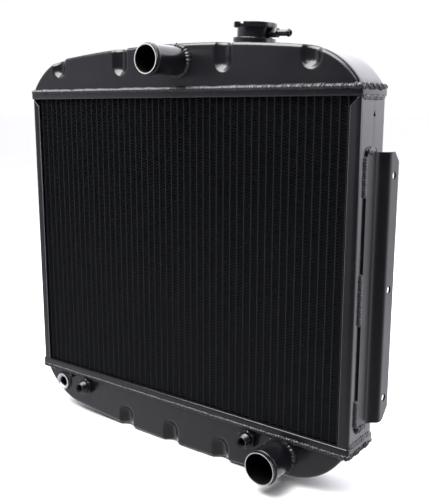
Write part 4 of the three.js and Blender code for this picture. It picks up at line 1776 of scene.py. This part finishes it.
@dataclass(frozen=True)
class Studio:
    """Pale floor, white surroundings, soft panels and the camera."""

    camera_place: tuple[float, float, float] = (0.64855, -0.76353, 0.48687)
    yaw: float = 37.06
    tilt: float = 11.03
    roll: float = -0.06
    lens: float = 51.73
    sensor: float = 36.0
    floor_half: float = 40.0
    backdrop: float = 1.0
    behind: float = 3.0
    left: float = 0.8
    dim: float = 0.05
    below: float = 0.5
    tint: tuple[float, float, float, float] = (0.985, 0.97, 1.045, 1.0)
    panels: tuple[Panel, ...] = (
        Panel("panel_top", (-0.30, -0.6, 1.9), (0.0, 0.0, 0.4), (1.8, 1.6), 105.0),
        Panel("panel_right", (2.2, 0.9, 1.3), (0.2, 0.0, 0.3), (0.9, 1.6), 20.0),
        Panel("panel_front", (1.0, -1.5, 2.1), (0.0, 0.0, 0.3), (0.6, 0.6), 9.0),
    )

    def set_up(self) -> None:
        """Build the whole studio."""
        scene = bpy.context.scene
        scene.view_settings.view_transform = "Standard"
        data = bpy.data.cameras.new("camera")
        data.lens, data.sensor_width = self.lens, self.sensor
        camera = bpy.data.objects.new("camera", data)
        camera.location = self.camera_place
        camera.rotation_euler = [math.radians(a) for a in (90 - self.tilt, self.roll, self.yaw)]
        scene.collection.objects.link(camera)
        scene.camera = camera
        for panel in self.panels:
            panel.hang()
        self.lay_floor()
        self.light_world(scene)

    def lay_floor(self) -> None:
        """Pale painted floor with a faint mottle."""
        half = self.floor_half
        mesh = bpy.data.meshes.new("floor")
        corners = [(-half, -half, 0), (half, -half, 0), (half, half, 0), (-half, half, 0)]
        mesh.from_pydata(corners, [], [(0, 1, 2, 3)])
        floor = bpy.data.objects.new("floor", mesh)
        bpy.context.scene.collection.objects.link(floor)
        mesh.materials.append(FloorPaint().make())
        floor.visible_glossy = False

    def light_world(self, scene: bpy.types.Scene) -> None:
        """White surroundings, brighter behind the object than in front of it.

        Radiance in a direction (x, y, z) is behind(y) * height(z) * depth(z) + left(x) + below(z);
        each term is a ramp between the limits given here.

        Args:
            scene: takes the world.
        """
        world = bpy.data.worlds.new("surroundings")
        scene.world = world
        world.use_nodes = True
        tree = world.node_tree
        tree.nodes.clear()
        direction = add(tree, "TexCoord").outputs["Generated"]
        split = add(tree, "SeparateXYZ", Vector=direction)
        smooth, straight = "SMOOTHSTEP", "LINEAR"
        # Each ramp: axis, limits of the direction, radiance at those limits, shape.
        ramps = {
            "behind": ("Y", (0.0, 0.8), (0.0, self.behind), smooth),
            "height": ("Z", (-0.2, 0.45), (0.5, 1.0), smooth),
            "depth": ("Z", (-0.75, -0.3), (0.25, 1.0), smooth),
            "left": ("X", (-0.4, -0.85), (self.dim, self.left), straight),
            "below": ("Z", (-0.15, -0.45), (0.0, self.below), smooth),
        }
        terms = {}
        for name, (axis, (near, far), (low, high), kind) in ramps.items():
            ramp = add(
                tree, "MapRange", {"interpolation_type": kind}, Value=split.outputs[axis],
                From_Min=near, From_Max=far, To_Min=low, To_Max=high,
            )
            terms[name] = ramp.outputs["Result"]
        for name, kind, one, other in (
            ("tall", "MULTIPLY", "behind", "height"),
            ("deep", "MULTIPLY", "tall", "depth"),
            ("front", "ADD", "left", "below"),
            ("whole", "ADD", "deep", "front"),
        ):
            step = add(tree, "Math", {"operation": kind}, _0=terms[one], _1=terms[other])
            terms[name] = step.outputs[0]
        soft = add(tree, "Background", Color=self.tint, Strength=terms["whole"]).outputs[0]
        white = add(tree, "Background", Color=(1, 1, 1, 1), Strength=self.backdrop).outputs[0]
        seen = add(tree, "LightPath").outputs["Is Camera Ray"]
        mix = add(tree, "MixShader", _0=seen, _1=soft, _2=white)
        add(tree, "OutputWorld", Surface=mix.outputs[0])


# ---------------------------------------------------------------------------------- assembly


def build_radiator(dresser: Dresser) -> None:
    """Build every sub-assembly in order.

    Args:
        dresser: finishes the pieces.
    """
    Core().build(dresser)
    for side in Side:
        SidePlate(side).build(dresser)
    HeaderTray(End.UPPER, level=427.0).build(dresser)
    HeaderTray(End.LOWER, level=0.0).build(dresser)

    inlet = HoseNeck("inlet_neck", (15.0, 474.8), radius=19.05, length=62.0)
    outlet = HoseNeck("outlet_neck", (185.0, -37.1), radius=22.2, length=47.5)
    filler = FillerNeck()
    bung = DrainBung()
    ports = (CoolerPort(Side.LEFT, (-180.5, -27.0)), CoolerPort(Side.RIGHT, (136.0, -27.0)))

    top = Tank(
        "top_tank", End.UPPER, crown=498.5, crown_radius=1960.0, shoulder_start=208.0,
        shoulder_radius=100.0, dimples=(-219.0, -91.0, 90.0, 218.0), dimple_centre=472.8,
        base=429.3,
    )
    top.build(dresser, [inlet.drill(), filler.drill()])
    bottom = Tank(
        "bottom_tank", End.LOWER, crown=75.42, crown_radius=1800.0, shoulder_start=203.0,
        shoulder_radius=95.0, dimples=(-94.0, -3.5, 88.0), dimple_centre=54.5, base=2.3,
    )
    bottom.build(dresser, [outlet.drill(), bung.drill(), *(port.drill() for port in ports)])
    TankWeld("top_tank_weld", End.UPPER, level=438.5).build(dresser)
    TankWeld("bottom_tank_weld", End.LOWER, level=11.5).build(dresser)

    for part in (inlet, outlet, filler, bung, *ports, SmallScrew()):
        part.build(dresser)
    dresser.repaint("oil_cooler", dresser.hidden)

    fillet = Bead(width=6.6, height=3.0, pitch=4.4, ripple=0.2, wander=0.14, lumps=0.2)
    slight = Bead(width=3.0, height=1.5, pitch=2.8)
    RoundWeld("inlet_weld", inlet.centre, inlet.radius, fillet).build(dresser)
    RoundWeld("outlet_weld", outlet.centre, outlet.radius, fillet).build(dresser)
    RoundWeld("drain_bung_weld", bung.centre, bung.radius, slight).build(dresser)

    run = Bead(width=5.4, height=1.3, pitch=4.6, ripple=0.24, wander=0.14, lumps=0.22, taper=12.0)
    for side in Side:
        for label, z, lean in (("upper", 427.0 - 1.0, -0.35), ("lower", 1.0, 0.35)):
            name = f"{label}_plate_weld_{side.label}"
            start, end = (284.4, 4.0, z), (284.4, 63.5, z)
            StraightWeld(name, side, start, end, run, (1.0, 0.0, lean)).build(dresser)
        Bracket(side).build(dresser)


def main() -> None:
    """Build the object and the studio."""
    logging.basicConfig(level=logging.INFO, format="%(name)s %(message)s")
    build_radiator(Dresser.stocked())
    Studio().set_up()


if __name__ == "__main__":
    main()
